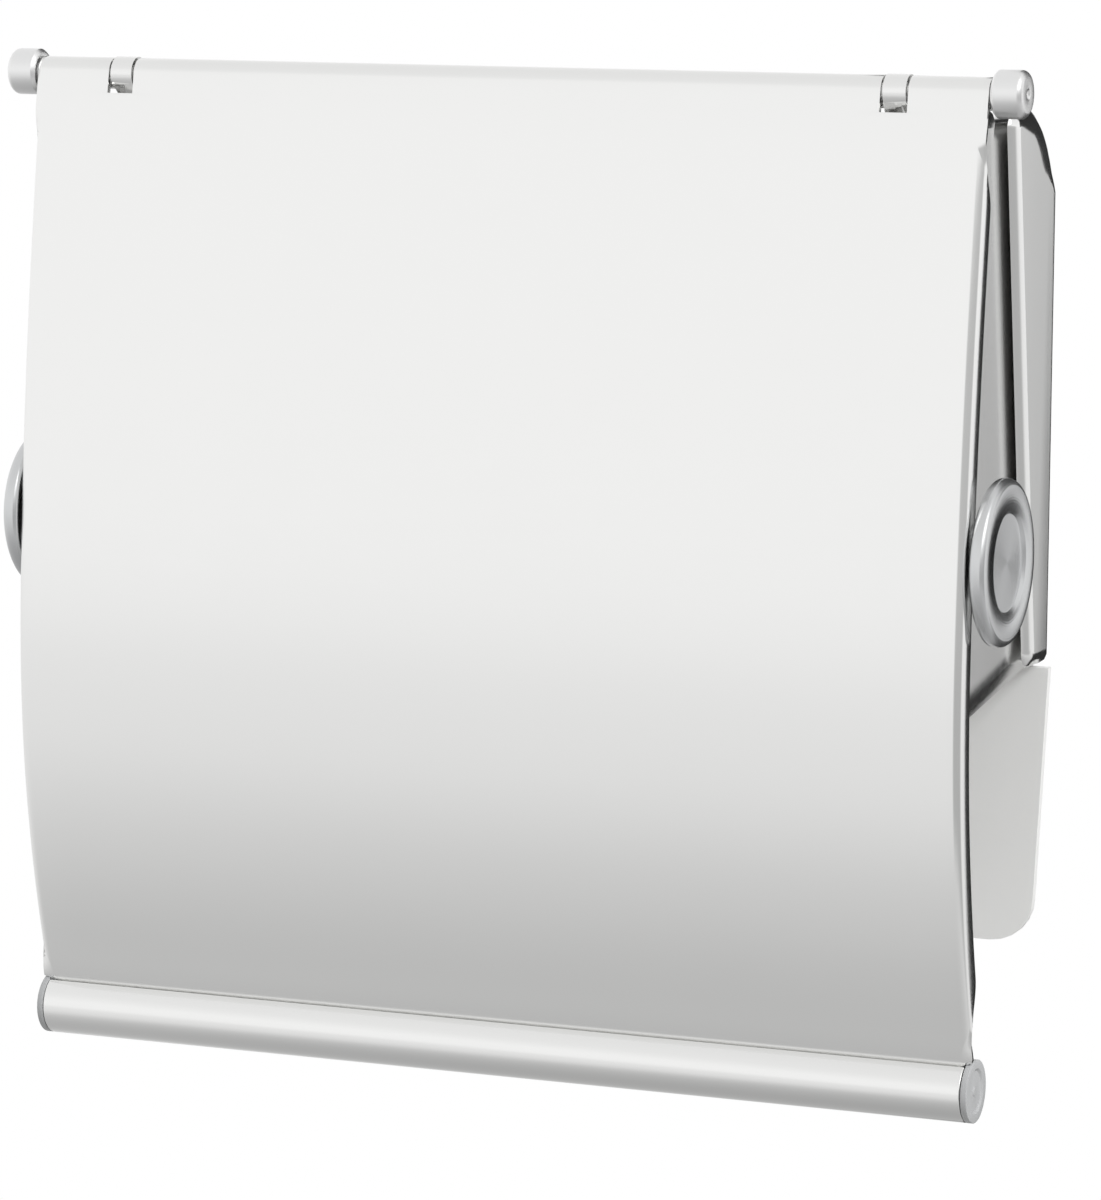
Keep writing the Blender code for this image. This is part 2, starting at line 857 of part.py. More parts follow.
# Rubber buffers inside the cover, resting on the ears' front edges
buffer_z = cover_top - cover_height * buffer_drop_share
buffer_drop_on_sheet = sheet_top_z - buffer_z
lean = (sheet_y(buffer_drop_on_sheet + fit_gap) - sheet_y(buffer_drop_on_sheet - fit_gap)) / (2 * fit_gap)
lean_angle = math.atan(lean)
for side, word in ((-1, "left"), (1, "right")):
    height = ear_front_clearance - fit_gap / 3
    profile = [(fit_gap / 2, 0), (fit_gap / 2, buffer_radius), (height - buffer_edge_round, buffer_radius)]
    for k in range(1, 4):
        turn = math.radians(90 * k / 3)
        profile.append(
            (
                height - buffer_edge_round * (1 - math.sin(turn)),
                buffer_radius - buffer_edge_round * (1 - math.cos(turn)),
            )
        )
    profile.append((height, 0))
    mesh = bpy.data.meshes.new(f"cover_buffer_{word}")
    build = bmesh.new()
    made = [build.verts.new((radius, 0, along)) for along, radius in reversed(profile)]
    for first, second in zip(made, made[1:]):
        build.edges.new((first, second))
    build.to_mesh(mesh)
    build.free()
    piece = add_object(f"cover_buffer_{word}", mesh, black_rubber)
    turn_buffer = piece.modifiers.new("turn", "SCREW")
    turn_buffer.axis = "Z"
    turn_buffer.angle = 2 * math.pi
    turn_buffer.steps = round_steps
    turn_buffer.render_steps = round_steps
    turn_buffer.use_merge_vertices = True
    turn_buffer.merge_threshold = 0.00001
    turn_buffer.use_smooth_shade = True
    piece.rotation_euler = (lean_angle - math.pi / 2, 0, 0)
    piece.location = (
        side * (ear_half_span + rim_inner) / 2,
        sheet_y(buffer_drop_on_sheet) + sheet_thickness / 2 * math.cos(lean_angle),
        buffer_z + sheet_thickness / 2 * math.sin(lean_angle),
    )
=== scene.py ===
import math

import bmesh
import bpy
import numpy as np
from mathutils import Matrix, Vector


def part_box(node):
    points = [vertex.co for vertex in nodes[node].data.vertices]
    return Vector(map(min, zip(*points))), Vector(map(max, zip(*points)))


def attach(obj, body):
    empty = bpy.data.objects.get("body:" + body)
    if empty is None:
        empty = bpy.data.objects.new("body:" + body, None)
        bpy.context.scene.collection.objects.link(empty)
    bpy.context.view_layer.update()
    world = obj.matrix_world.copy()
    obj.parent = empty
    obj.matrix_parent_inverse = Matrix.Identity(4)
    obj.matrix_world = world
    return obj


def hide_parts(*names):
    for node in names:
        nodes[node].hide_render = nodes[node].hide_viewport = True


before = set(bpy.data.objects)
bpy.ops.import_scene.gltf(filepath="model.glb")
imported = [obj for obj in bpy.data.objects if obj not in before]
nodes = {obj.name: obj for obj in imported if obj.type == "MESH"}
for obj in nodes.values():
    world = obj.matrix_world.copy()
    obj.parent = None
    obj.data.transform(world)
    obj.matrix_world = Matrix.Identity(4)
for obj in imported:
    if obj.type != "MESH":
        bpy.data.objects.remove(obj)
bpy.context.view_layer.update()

scene = bpy.context.scene
mm = 0.001
sides = ((-1, "Left"), (1, "Right"))


# Camera: long lens, a little above the holder and to its right, matched to the photograph
camera = {
    "place": (0.26893, -0.68357, 0.09382),
    "right": (0.92248, 0.38598, 0.00635),
    "up": (-0.05841, 0.12329, 0.99065),
    "lensMm": 161.7,
    "sensorMm": 36.0,
    "nearest": 0.01,
}

cameraData = bpy.data.cameras.new("camera")
cameraData.lens = camera["lensMm"]
cameraData.sensor_fit = "VERTICAL"
cameraData.sensor_height = camera["sensorMm"]
cameraData.clip_start = camera["nearest"]
cameraObject = bpy.data.objects.new("camera", cameraData)
scene.collection.objects.link(cameraObject)
rightAxis = Vector(camera["right"]).normalized()
upAxis = Vector(camera["up"])
upAxis = (upAxis - rightAxis * upAxis.dot(rightAxis)).normalized()
backAxis = rightAxis.cross(upAxis)
cameraTurn = Matrix((rightAxis, upAxis, backAxis)).transposed().to_4x4()
cameraObject.matrix_world = Matrix.Translation(camera["place"]) @ cameraTurn
scene.camera = cameraObject
scene.view_settings.view_transform = "Standard"
print("camera placed")


# Small tools for the materials
mixShare, mixFirst, mixSecond, mixResult = 0, 6, 7, 2  # a Mix node's sockets when it mixes colours


def hexColour(text):
    # sRGB hex to linear
    parts = [int(text[k:k + 2], 16) / 255 for k in (1, 3, 5)]
    return tuple(p / 12.92 if p <= 0.04045 else ((p + 0.055) / 1.055) ** 2.4 for p in parts) + (1.0,)


def perMetre(sizeMm):
    # a pattern's scale from the real size of its grain
    return 1 / (sizeMm * mm)


def addNode(tree, kind, settings=None, links=None):
    # one node: settings are its own options or its inputs' values, links are {input: output socket}
    node = tree.nodes.new(kind)
    for name, value in (settings or {}).items():
        if isinstance(name, str) and hasattr(node, name):
            setattr(node, name, value)
        else:
            node.inputs[name].default_value = value
    for name, socket in (links or {}).items():
        tree.links.new(socket, node.inputs[name])
    return node


def newMaterial(name, shader):
    material = bpy.data.materials.new(name)
    material.use_nodes = True
    tree = material.node_tree
    surface = tree.nodes["Principled BSDF"]
    for socket, value in shader.items():
        surface.inputs[socket].default_value = value
    return material, tree, surface


def dressSurface(tree, surface, rough, bump, tint=None):
    # join the patterns for roughness, bump and colour to the shader
    if tint is not None:
        tree.links.new(tint.outputs[mixResult], surface.inputs["Base Color"])
    tree.links.new(rough.outputs["Result"], surface.inputs["Roughness"])
    tree.links.new(bump.outputs["Normal"], surface.inputs["Normal"])


# Stainless steel sheet, buffed after pressing: near mirror, with a faint sideways grain left by the mop
def buffedStainless():
    look = {
        "colour": "#F0F0EF",
        "roughLow": 0.12,
        "roughHigh": 0.19,
        "grainMm": 0.22,  # the mop's real lines are finer, and are drawn this coarse so that they show
        "stretch": 120,
        "smearMm": 14,
        "bump": 0.05,
        "bumpMm": 0.01,
    }
    shader = {"Metallic": 1.0, "Base Color": hexColour(look["colour"])}
    material, tree, surface = newMaterial("buffedStainlessSheet", shader)
    place = addNode(tree, "ShaderNodeTexCoord")
    along = addNode(
        tree, "ShaderNodeMapping",
        {"Scale": (1 / look["stretch"], 1, 1)},
        {"Vector": place.outputs["Object"]},
    )
    grain = addNode(
        tree, "ShaderNodeTexNoise",
        {"Scale": perMetre(look["grainMm"]), "Detail": 2.0},
        {"Vector": along.outputs["Vector"]},
    )
    smear = addNode(
        tree, "ShaderNodeTexNoise",
        {"Scale": perMetre(look["smearMm"]), "Detail": 3.0, "Roughness": 0.6},
        {"Vector": place.outputs["Object"]},
    )
    both = addNode(
        tree, "ShaderNodeMath", {"operation": "ADD"},
        {0: grain.outputs["Fac"], 1: smear.outputs["Fac"]},
    )
    rough = addNode(
        tree, "ShaderNodeMapRange",
        {"From Min": 0.6, "From Max": 1.4, "To Min": look["roughLow"], "To Max": look["roughHigh"]},
        {"Value": both.outputs["Value"]},
    )
    bump = addNode(
        tree, "ShaderNodeBump",
        {"Strength": look["bump"], "Distance": look["bumpMm"] * mm},
        {"Height": grain.outputs["Fac"]},
    )
    dressSurface(tree, surface, rough, bump)
    return material


# Stainless steel strip, belt brushed before pressing: satin, with fine straight lines up and down
def brushedStainless():
    look = {
        "colour": "#D2D2D1",
        "roughLow": 0.12,
        "roughHigh": 0.20,
        "grainMm": 0.16,  # the belt's real lines are finer, and are drawn this coarse so that they show
        "stretch": 70,
        "bump": 0.15,
        "bumpMm": 0.02,
    }
    shader = {"Metallic": 1.0, "Base Color": hexColour(look["colour"])}
    material, tree, surface = newMaterial("brushedStainlessStrip", shader)
    place = addNode(tree, "ShaderNodeTexCoord")
    along = addNode(
        tree, "ShaderNodeMapping",
        {"Scale": (1, 1, 1 / look["stretch"])},
        {"Vector": place.outputs["Object"]},
    )
    grain = addNode(
        tree, "ShaderNodeTexNoise",
        {"Scale": perMetre(look["grainMm"]), "Detail": 3.0},
        {"Vector": along.outputs["Vector"]},
    )
    rough = addNode(
        tree, "ShaderNodeMapRange",
        {"From Min": 0.3, "From Max": 0.7, "To Min": look["roughLow"], "To Max": look["roughHigh"]},
        {"Value": grain.outputs["Fac"]},
    )
    bump = addNode(
        tree, "ShaderNodeBump",
        {"Strength": look["bump"], "Distance": look["bumpMm"] * mm},
        {"Height": grain.outputs["Fac"]},
    )
    dressSurface(tree, surface, rough, bump)
    return material


# Stainless sheet as it leaves the mill or the pickling bath, where no mop reaches: pale, matt and very even
def mattStainless(name, look):
    shader = {"Metallic": look["metallic"], "Base Color": hexColour(look["colour"])}
    material, tree, surface = newMaterial(name, shader)
    place = addNode(tree, "ShaderNodeTexCoord")
    grain = addNode(
        tree, "ShaderNodeTexNoise",
        {"Scale": perMetre(look["grainMm"]), "Detail": 3.0},
        {"Vector": place.outputs["Object"]},
    )
    rough = addNode(
        tree, "ShaderNodeMapRange",
        {"From Min": 0.35, "From Max": 0.65, "To Min": look["roughLow"], "To Max": look["roughHigh"]},
        {"Value": grain.outputs["Fac"]},
    )
    bump = addNode(
        tree, "ShaderNodeBump",
        {"Strength": look["bump"], "Distance": look["bumpMm"] * mm},
        {"Height": grain.outputs["Fac"]},
    )
    dressSurface(tree, surface, rough, bump)
    return material


# Turned bar steel, chromed: bright, with rings left by the lathe tool that draw light into fans on flat ends
def turnedChrome(name, axis, look):
    waveRadians = 20  # a Wave node makes this much of its wave for each unit of its scale
    shader = {"Metallic": 1.0, "Base Color": hexColour(look["colour"]), "Anisotropic": look["rings"]}
    material, tree, surface = newMaterial(name, shader)
    tangent = addNode(tree, "ShaderNodeTangent", {"direction_type": "RADIAL", "axis": "X"})
    tree.links.new(tangent.outputs["Tangent"], surface.inputs["Tangent"])
    place = addNode(tree, "ShaderNodeTexCoord")
    centred = addNode(
        tree, "ShaderNodeMapping",
        {"Location": (0, -axis[0] * mm, -axis[1] * mm)},
        {"Vector": place.outputs["Object"]},
    )
    ringScale = 1 / (waveRadians * look["ringMm"] * mm) * 2 * math.pi
    rings = addNode(
        tree, "ShaderNodeTexWave",
        {"wave_type": "RINGS", "rings_direction": "X", "Scale": ringScale, "Distortion": 0.0},
        {"Vector": centred.outputs["Vector"]},
    )
    speck = addNode(
        tree, "ShaderNodeTexNoise",
        {"Scale": perMetre(look["speckMm"]), "Detail": 4.0},
        {"Vector": place.outputs["Object"]},
    )
    rough = addNode(
        tree, "ShaderNodeMapRange",
        {"To Min": look["roughLow"], "To Max": look["roughHigh"]},
        {"Value": speck.outputs["Fac"]},
    )
    bump = addNode(
        tree, "ShaderNodeBump",
        {"Strength": look["bump"], "Distance": look["bumpMm"] * mm},
        {"Height": rings.outputs["Fac"]},
    )
    dressSurface(tree, surface, rough, bump)
    return material


# Zinc plated screw steel: pale blue-grey, dulled unevenly by the plating bath
def zincPlated():
    look = {
        "light": "#C4C8CC",
        "dark": "#A4A9AE",
        "roughLow": 0.28,
        "roughHigh": 0.45,
        "patchMm": 0.9,
        "bump": 0.2,
        "bumpMm": 0.02,
    }
    material, tree, surface = newMaterial("zincPlatedSteel", {"Metallic": 1.0})
    place = addNode(tree, "ShaderNodeTexCoord")
    patch = addNode(
        tree, "ShaderNodeTexNoise",
        {"Scale": perMetre(look["patchMm"]), "Detail": 5.0},
        {"Vector": place.outputs["Object"]},
    )
    tint = addNode(
        tree, "ShaderNodeMix",
        {"data_type": "RGBA", mixFirst: hexColour(look["light"]), mixSecond: hexColour(look["dark"])},
        {mixShare: patch.outputs["Fac"]},
    )
    rough = addNode(
        tree, "ShaderNodeMapRange",
        {"From Min": 0.3, "From Max": 0.7, "To Min": look["roughLow"], "To Max": look["roughHigh"]},
        {"Value": patch.outputs["Fac"]},
    )
    bump = addNode(
        tree, "ShaderNodeBump",
        {"Strength": look["bump"], "Distance": look["bumpMm"] * mm},
        {"Height": patch.outputs["Fac"]},
    )
    dressSurface(tree, surface, rough, bump, tint)
    return material


# Moulded plastic or rubber: a fine spark-eroded grain from the mould, even colour with faint flow marks
def mouldedPlastic(name, look):
    material, tree, surface = newMaterial(name, {"Metallic": 0.0, "IOR": look["ior"]})
    place = addNode(tree, "ShaderNodeTexCoord")
    grain = addNode(
        tree, "ShaderNodeTexNoise",
        {"Scale": perMetre(look["grainMm"]), "Detail": 2.0},
        {"Vector": place.outputs["Object"]},
    )
    flow = addNode(
        tree, "ShaderNodeTexNoise",
        {"Scale": perMetre(look["flowMm"]), "Detail": 2.0},
        {"Vector": place.outputs["Object"]},
    )
    tint = addNode(
        tree, "ShaderNodeMix",
        {"data_type": "RGBA", mixFirst: hexColour(look["dark"]), mixSecond: hexColour(look["light"])},
        {mixShare: flow.outputs["Fac"]},
    )
    rough = addNode(
        tree, "ShaderNodeMapRange",
        {"From Min": 0.3, "From Max": 0.7, "To Min": look["roughLow"], "To Max": look["roughHigh"]},
        {"Value": grain.outputs["Fac"]},
    )
    bump = addNode(
        tree, "ShaderNodeBump",
        {"Strength": look["bump"], "Distance": look["bumpMm"] * mm},
        {"Height": grain.outputs["Fac"]},
    )
    dressSurface(tree, surface, rough, bump, tint)
    return material


def axisOf(node):
    # middle of a turned node seen along X, in millimetres
    low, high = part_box(node)
    return (low[1] + high[1]) / 2 / mm, (low[2] + high[2]) / 2 / mm


hingeAxis = axisOf("hinge_rod")
spindleAxis = axisOf("spindle_rod")
beadAxis = axisOf("grip_bead")

buffed = buffedStainless()
brushed = brushedStainless()
mill = mattStainless("millFinishStainlessSheet", {
    "colour": "#E2E2E0",
    "metallic": 0.6,
    "roughLow": 0.60,
    "roughHigh": 0.70,
    "grainMm": 0.30,  # drawn coarser than the real grain of the rolls, so that it shows
    "bump": 0.12,
    "bumpMm": 0.02,
})
pickled = mattStainless("pickledStainlessSheet", {
    "colour": "#F8F8F7",
    "metallic": 0.4,
    "roughLow": 0.62,
    "roughHigh": 0.72,
    "grainMm": 0.26,  # drawn coarser than the acid's real etching, so that it shows
    "bump": 0.12,
    "bumpMm": 0.02,
})
hingeChrome = turnedChrome("turnedChromedSteelHinge", hingeAxis, {
    "colour": "#EEEEEE",
    "roughLow": 0.28,
    "roughHigh": 0.36,
    "rings": 0.3,
    "ringMm": 0.35,  # about three times the tool's real feed, so that the rings show
    "speckMm": 0.4,
    "bump": 0.25,
    "bumpMm": 0.01,
})
spindleChrome = turnedChrome("turnedChromedSteelSpindle", spindleAxis, {
    "colour": "#D4D5D6",
    "roughLow": 0.20,
    "roughHigh": 0.28,
    "rings": 0.7,
    "ringMm": 0.35,  # about three times the tool's real feed, so that the rings show
    "speckMm": 0.4,
    "bump": 0.25,
    "bumpMm": 0.01,
})
zinc = zincPlated()
nylon = mouldedPlastic("mouldedNylonGrey", {
    "light": "#B4B5B6",
    "dark": "#A8A9AA",
    "ior": 1.53,
    "roughLow": 0.38,
    "roughHigh": 0.55,
    "grainMm": 0.12,  # about twice the mould's real grain, so that it shows
    "flowMm": 3.0,
    "bump": 0.3,
    "bumpMm": 0.03,
})
rubber = mouldedPlastic("mouldedRubberBlack", {
    "light": "#262626",
    "dark": "#1C1C1C",
    "ior": 1.52,
    "roughLow": 0.6,
    "roughHigh": 0.8,
    "grainMm": 0.1,  # about twice the mould's real grain, so that it shows
    "flowMm": 2.0,
    "bump": 0.3,
    "bumpMm": 0.03,
})
print("materials made")


# Small tools for the shapes, all in millimetres until a piece is finished
fitGap = 0.05  # between a rod and the hole or curl round it
weld = {"turned": 0.0005, "sheet": 0.001, "copied": 0.002}  # points nearer to each other than this become one
# sine and cosine at the steps of a quarter turn, for the rounded edges of turned pieces
quarter = [(math.sin(math.radians(turn)), math.cos(math.radians(turn))) for turn in range(0, 91, 15)]


def isSharp(edge, degrees):
    return len(edge.link_faces) == 2 and edge.calc_face_angle(0) > math.radians(degrees)


def softenEdges(build, width, segments, degrees=40):
    sharp = [edge for edge in build.edges if isSharp(edge, degrees)]
    if sharp:
        bmesh.ops.bevel(
            build, geom=sharp, offset=width, offset_type="OFFSET", segments=segments, profile=0.5,
            affect="EDGES", clamp_overlap=True, material=-1,
        )


def finishPiece(name, build, materials, body, node, sharpDegrees=35):
    bmesh.ops.scale(build, vec=(mm, mm, mm), verts=build.verts)
    for face in build.faces:
        face.smooth = True
    for edge in build.edges:
        if isSharp(edge, sharpDegrees):
            edge.smooth = False
    mesh = bpy.data.meshes.new(name)
    build.to_mesh(mesh)
    build.free()
    piece = bpy.data.objects.new(name, mesh)
    scene.collection.objects.link(piece)
    for material in materials:
        mesh.materials.append(material)
    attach(piece, body)
    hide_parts(node)
    return piece


def turnedShape(profile, start, side, axis, soften, steps=96):
    # profile is (distance outwards, radius), turned about the X direction through axis (y, z)
    build = bmesh.new()
    chain = [build.verts.new((start + side * along, axis[0], axis[1] + radius)) for along, radius in profile]
    lines = [build.edges.new(pair) for pair in zip(chain, chain[1:])]
    bmesh.ops.spin(
        build, geom=chain + lines, cent=(0, axis[0], axis[1]), axis=(1, 0, 0), dvec=(0, 0, 0),
        angle=2 * math.pi, steps=steps, use_merge=True,
    )
    bmesh.ops.remove_doubles(build, verts=build.verts, dist=weld["turned"])
    bmesh.ops.recalc_face_normals(build, faces=build.faces)
    softenEdges(build, soften, segments=3)
    return build


def eased(share):
    # from 0 to 1 with soft ends
    share = min(max(share, 0.0), 1.0)
    return share * share * (3 - 2 * share)


# Grip bead: its radius also sets where the cover sheet ends, so its sizes stand before the cover's
gripBead = {"radius": 4.0, "wall": 1.1, "slit": 1.4, "half": 64.1, "steps": 120, "edge": 0.2}


# Cover sheet: steel, curled over the hinge rod, bowed, with folded side returns and a tongue in the bead
coverSheet = {
    "width": 130.0,
    "height": 130.0,
    "thick": 0.8,
    "edge": 0.08,
    "curlTurn": 0.80,
    "bulge": 7.1,
    "foldStart": 4.8,
    "foldTaper": 9.5,
    "foldBend": 1.4,
    "foldDepth": 3.7,
    "squareFold": 0.4995,  # from this share on the fold counts as square
    "leastFlange": 0.3,
    "tongueInset": 1.0,
    "tongueSetback": 1.8,
    "tongueLength": 2.05,
    "shoulder": 0.3,
    "notch": (51.1, 54.7, 2.5),
    "columns": (0.0, 12.0, 24.0, 36.0, 46.0, 59.0, 63.6),
    "foldSteps": (0.14, 0.28, 0.43, 0.57, 0.71, 0.86, 1.0),
    "curlSteps": 56,
    "frontSteps": 150,
    "leastStep": 0.12,  # rows nearer than this to the notch's foot or the tongue are left out
    "slopeReach": 0.05,  # the bow's slope is taken over this much drop to either side
    "topPart": 1000,  # the curl starts along the slope of the bow's first thousandth
    "frontPlace": (6, -63, 0),  # the face nearest to this has to look to the front
    # faces that look to the back more than this, and lie this far below the hinge, keep the mill finish
    "millFacing": 0.35,
    "millDrop": 3.5,
    # drop and bulge of the pressed bow, as shares of the whole drop and bulge
    "bow": (
        (0.0000, 0.000), (0.0642, 0.189), (0.1460, 0.378), (0.2278, 0.549), (0.3096, 0.695), (0.3914, 0.817),
        (0.4740, 0.915), (0.5558, 0.982), (0.6213, 1.000), (0.6867, 0.963), (0.7513, 0.866), (0.8176, 0.695),
        (0.8667, 0.530), (0.9157, 0.329), (0.9566, 0.140), (0.9869, -0.012), (1.0000, -0.092),
    ),
}

tongueDrop = coverSheet["height"] - 2 * gripBead["radius"] - coverSheet["tongueSetback"]
coverSheet["drop"] = tongueDrop + coverSheet["tongueLength"]
bowDrops = np.array([share[0] for share in coverSheet["bow"]]) * coverSheet["drop"]
bowReach = np.array([share[1] for share in coverSheet["bow"]]) * coverSheet["bulge"]


def smoothBow():
    # natural cubic through the bow's stations, as the press tool's curve
    step = np.diff(bowDrops)
    count = len(bowDrops)
    matrix = np.eye(count)
    right = np.zeros(count)
    for k in range(1, count - 1):
        matrix[k, k - 1:k + 2] = step[k - 1], 2 * (step[k - 1] + step[k]), step[k]
        rise = (bowReach[k + 1] - bowReach[k]) / step[k]
        right[k] = 6 * (rise - (bowReach[k] - bowReach[k - 1]) / step[k - 1])
    bend = np.linalg.solve(matrix, right)

    def at(drop):
        k = int(min(max(np.searchsorted(bowDrops, drop) - 1, 0), count - 2))
        before = bowDrops[k + 1] - drop
        after = drop - bowDrops[k]
        curve = (bend[k] * before ** 3 + bend[k + 1] * after ** 3) / (6 * step[k])
        fromBefore = (bowReach[k] / step[k] - bend[k] * step[k] / 6) * before
        fromAfter = (bowReach[k + 1] / step[k] - bend[k + 1] * step[k] / 6) * after
        return curve + fromBefore + fromAfter

    return at


bowAt = smoothBow()
rodRadius = (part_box("hinge_rod")[1][2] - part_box("hinge_rod")[0][2]) / 2 / mm
curlMiddle = rodRadius + fitGap + coverSheet["thick"] / 2
firstDrop = coverSheet["drop"] / coverSheet["topPart"]
startAngle = math.atan(bowAt(firstDrop) / firstDrop)
sheetTop = hingeAxis[1] + curlMiddle * math.sin(startAngle)


def sheetMiddle(drop):
    return hingeAxis[0] - curlMiddle * math.cos(startAngle) - bowAt(drop)


def coverRows():
    # middle line of the sheet from the curl's tail to the tongue: (y, z, normal y, normal z, drop)
    rows = []
    for k in range(coverSheet["curlSteps"]):
        turn = startAngle + 2 * math.pi * coverSheet["curlTurn"] * (1 - k / coverSheet["curlSteps"])
        y = hingeAxis[0] - curlMiddle * math.cos(turn)
        z = hingeAxis[1] + curlMiddle * math.sin(turn)
        rows.append((y, z, -math.cos(turn), math.sin(turn), -1.0))
    steps = coverSheet["frontSteps"]
    drops = [coverSheet["drop"] * k / steps for k in range(steps + 1)]
    notchFoot = sheetTop - hingeAxis[1] + coverSheet["notch"][2]
    exact = [notchFoot, tongueDrop, tongueDrop + coverSheet["shoulder"]]
    kept = [drop for drop in drops if min(abs(drop - other) for other in exact) > coverSheet["leastStep"]]
    for drop in sorted(kept + exact):
        above = max(drop - coverSheet["slopeReach"], 0)
        below = min(drop + coverSheet["slopeReach"], coverSheet["drop"])
        slope = (bowAt(below) - bowAt(above)) / (below - above)
        size = math.hypot(1, slope)
        rows.append((sheetMiddle(drop), sheetTop - drop, -1 / size, slope / size, drop))
    return rows


def foldShare(drop):
    # how far the side return is worked at this drop: to 0.5 it turns to square, from 0.5 to 1 it deepens
    if drop < 0:
        return 0.0
    fromTop = (drop - coverSheet["foldStart"]) / coverSheet["foldTaper"]
    fromTongue = (tongueDrop - coverSheet["shoulder"] - drop) / coverSheet["foldTaper"]
    return eased(min(fromTop, fromTongue))


def coverPlace(row, station):
    # station is ("flat", distance from the middle), ("fold", share of the fold's bend) or ("rim", 1.0)
    y, z, ny, nz, drop = row
    kind, value = station
    onTongue = drop > tongueDrop + coverSheet["shoulder"] / 2
    half = coverSheet["width"] / 2 - (coverSheet["tongueInset"] if onTongue else 0)
    bend = coverSheet["foldBend"]
    fold = foldShare(drop)
    angle = math.radians(90 * min(1.0, fold * 2))
    flat = half - bend
    if kind == "flat":
        x, depth = min(value, flat), 0.0
    else:
        x = flat + bend * math.sin(angle * value)
        depth = bend * (1 - math.cos(angle * value))
    if kind == "rim":
        # until the fold is square, the strip beyond the bend reaches out to the cover's full width
        toSide = bend * (1 - math.sin(angle)) / math.cos(angle) if fold < coverSheet["squareFold"] else 0.0
        deepened = (coverSheet["foldDepth"] - bend) * max(0.0, fold * 2 - 1)
        length = max(toSide, deepened, coverSheet["leastFlange"])
        x += length * math.cos(angle)
        depth += length * math.sin(angle)
    offset = coverSheet["thick"] / 2 - depth
    return Vector((x, y + ny * offset, z + nz * offset))


rows = coverRows()


def extrudeTo(station, build, lines, rowLayer):
    # next station of the lofted sheet: extrude the last line of edges, then move each point by its row number
    made = bmesh.ops.extrude_edge_only(build, edges=lines)["geom"]
    points = {item for item in made if isinstance(item, bmesh.types.BMVert)}
    for point in points:
        point.co = coverPlace(rows[point[rowLayer]], station)
    edges = [item for item in made if isinstance(item, bmesh.types.BMEdge)]
    return [edge for edge in edges if edge.verts[0] in points and edge.verts[1] in points]


low, high, depth = coverSheet["notch"]
stations = [("flat", x) for x in sorted(coverSheet["columns"] + (low, high))]
stations += [("fold", share) for share in coverSheet["foldSteps"]]
stations += [("rim", 1.0)]
build = bmesh.new()
rowLayer = build.verts.layers.int.new("row")
chain = []
for index, row in enumerate(rows):
    point = build.verts.new(coverPlace(row, stations[0]))
    point[rowLayer] = index
    chain.append(point)
lines = [build.edges.new(pair) for pair in zip(chain, chain[1:])]
for station in stations[1:]:
    lines = extrudeTo(station, build, lines, rowLayer)
inNotch = []
for face in build.faces:
    middle = face.calc_center_median()
    if low < middle.x < high and middle.z > hingeAxis[1] - depth:
        inNotch.append(face)
bmesh.ops.delete(build, geom=inNotch, context="FACES")
everything = build.verts[:] + build.edges[:] + build.faces[:]
bmesh.ops.mirror(build, geom=everything, axis="X", merge_dist=weld["sheet"])
bmesh.ops.remove_doubles(build, verts=build.verts, dist=weld["sheet"])
bmesh.ops.recalc_face_normals(build, faces=build.faces)
frontPlace = Vector(coverSheet["frontPlace"])
frontFace = min(build.faces, key=lambda face: (face.calc_center_median() - frontPlace).length)
if frontFace.normal.y > 0:
    bmesh.ops.reverse_faces(build, faces=build.faces)
bmesh.ops.solidify(build, geom=build.faces[:], thickness=coverSheet["thick"])
softenEdges(build, coverSheet["edge"], segments=2, degrees=60)
for face in build.faces:
    below = hingeAxis[1] - face.calc_center_median().z
    face.material_index = int(face.normal.y > coverSheet["millFacing"] and below > coverSheet["millDrop"])
finishPiece("coverSheetBowed", build, [buffed, mill], "cover", "cover_sheet")
print("cover made")


# Grip bead: slit steel tube pushed over the tongue
slitAngle = math.atan2(sheetTop - tongueDrop - beadAxis[1], sheetMiddle(tongueDrop) - beadAxis[0])
slitHalf = math.asin(gripBead["slit"] / 2 / gripBead["radius"])
build = bmesh.new()
chain = []
for k in range(gripBead["steps"] + 1):
    turn = slitAngle + slitHalf + (2 * math.pi - 2 * slitHalf) * k / gripBead["steps"]
    y = beadAxis[0] + gripBead["radius"] * math.cos(turn)
    z = beadAxis[1] + gripBead["radius"] * math.sin(turn)
    chain.append(build.verts.new((-gripBead["half"], y, z)))
lines = [build.edges.new(pair) for pair in zip(chain, chain[1:])]
made = bmesh.ops.extrude_edge_only(build, edges=lines)["geom"]
points = [item for item in made if isinstance(item, bmesh.types.BMVert)]
bmesh.ops.translate(build, vec=(2 * gripBead["half"], 0, 0), verts=points)
bmesh.ops.recalc_face_normals(build, faces=build.faces)
build.faces.ensure_lookup_table()
first = build.faces[0]
if first.normal.dot(first.calc_center_median() - Vector((0, beadAxis[0], beadAxis[1]))) < 0:
    bmesh.ops.reverse_faces(build, faces=build.faces)
bmesh.ops.solidify(build, geom=build.faces[:], thickness=gripBead["wall"])
softenEdges(build, gripBead["edge"], segments=3, degrees=60)
finishPiece("gripBeadTube", build, [buffed], "cover", "grip_bead")
print("bead made")


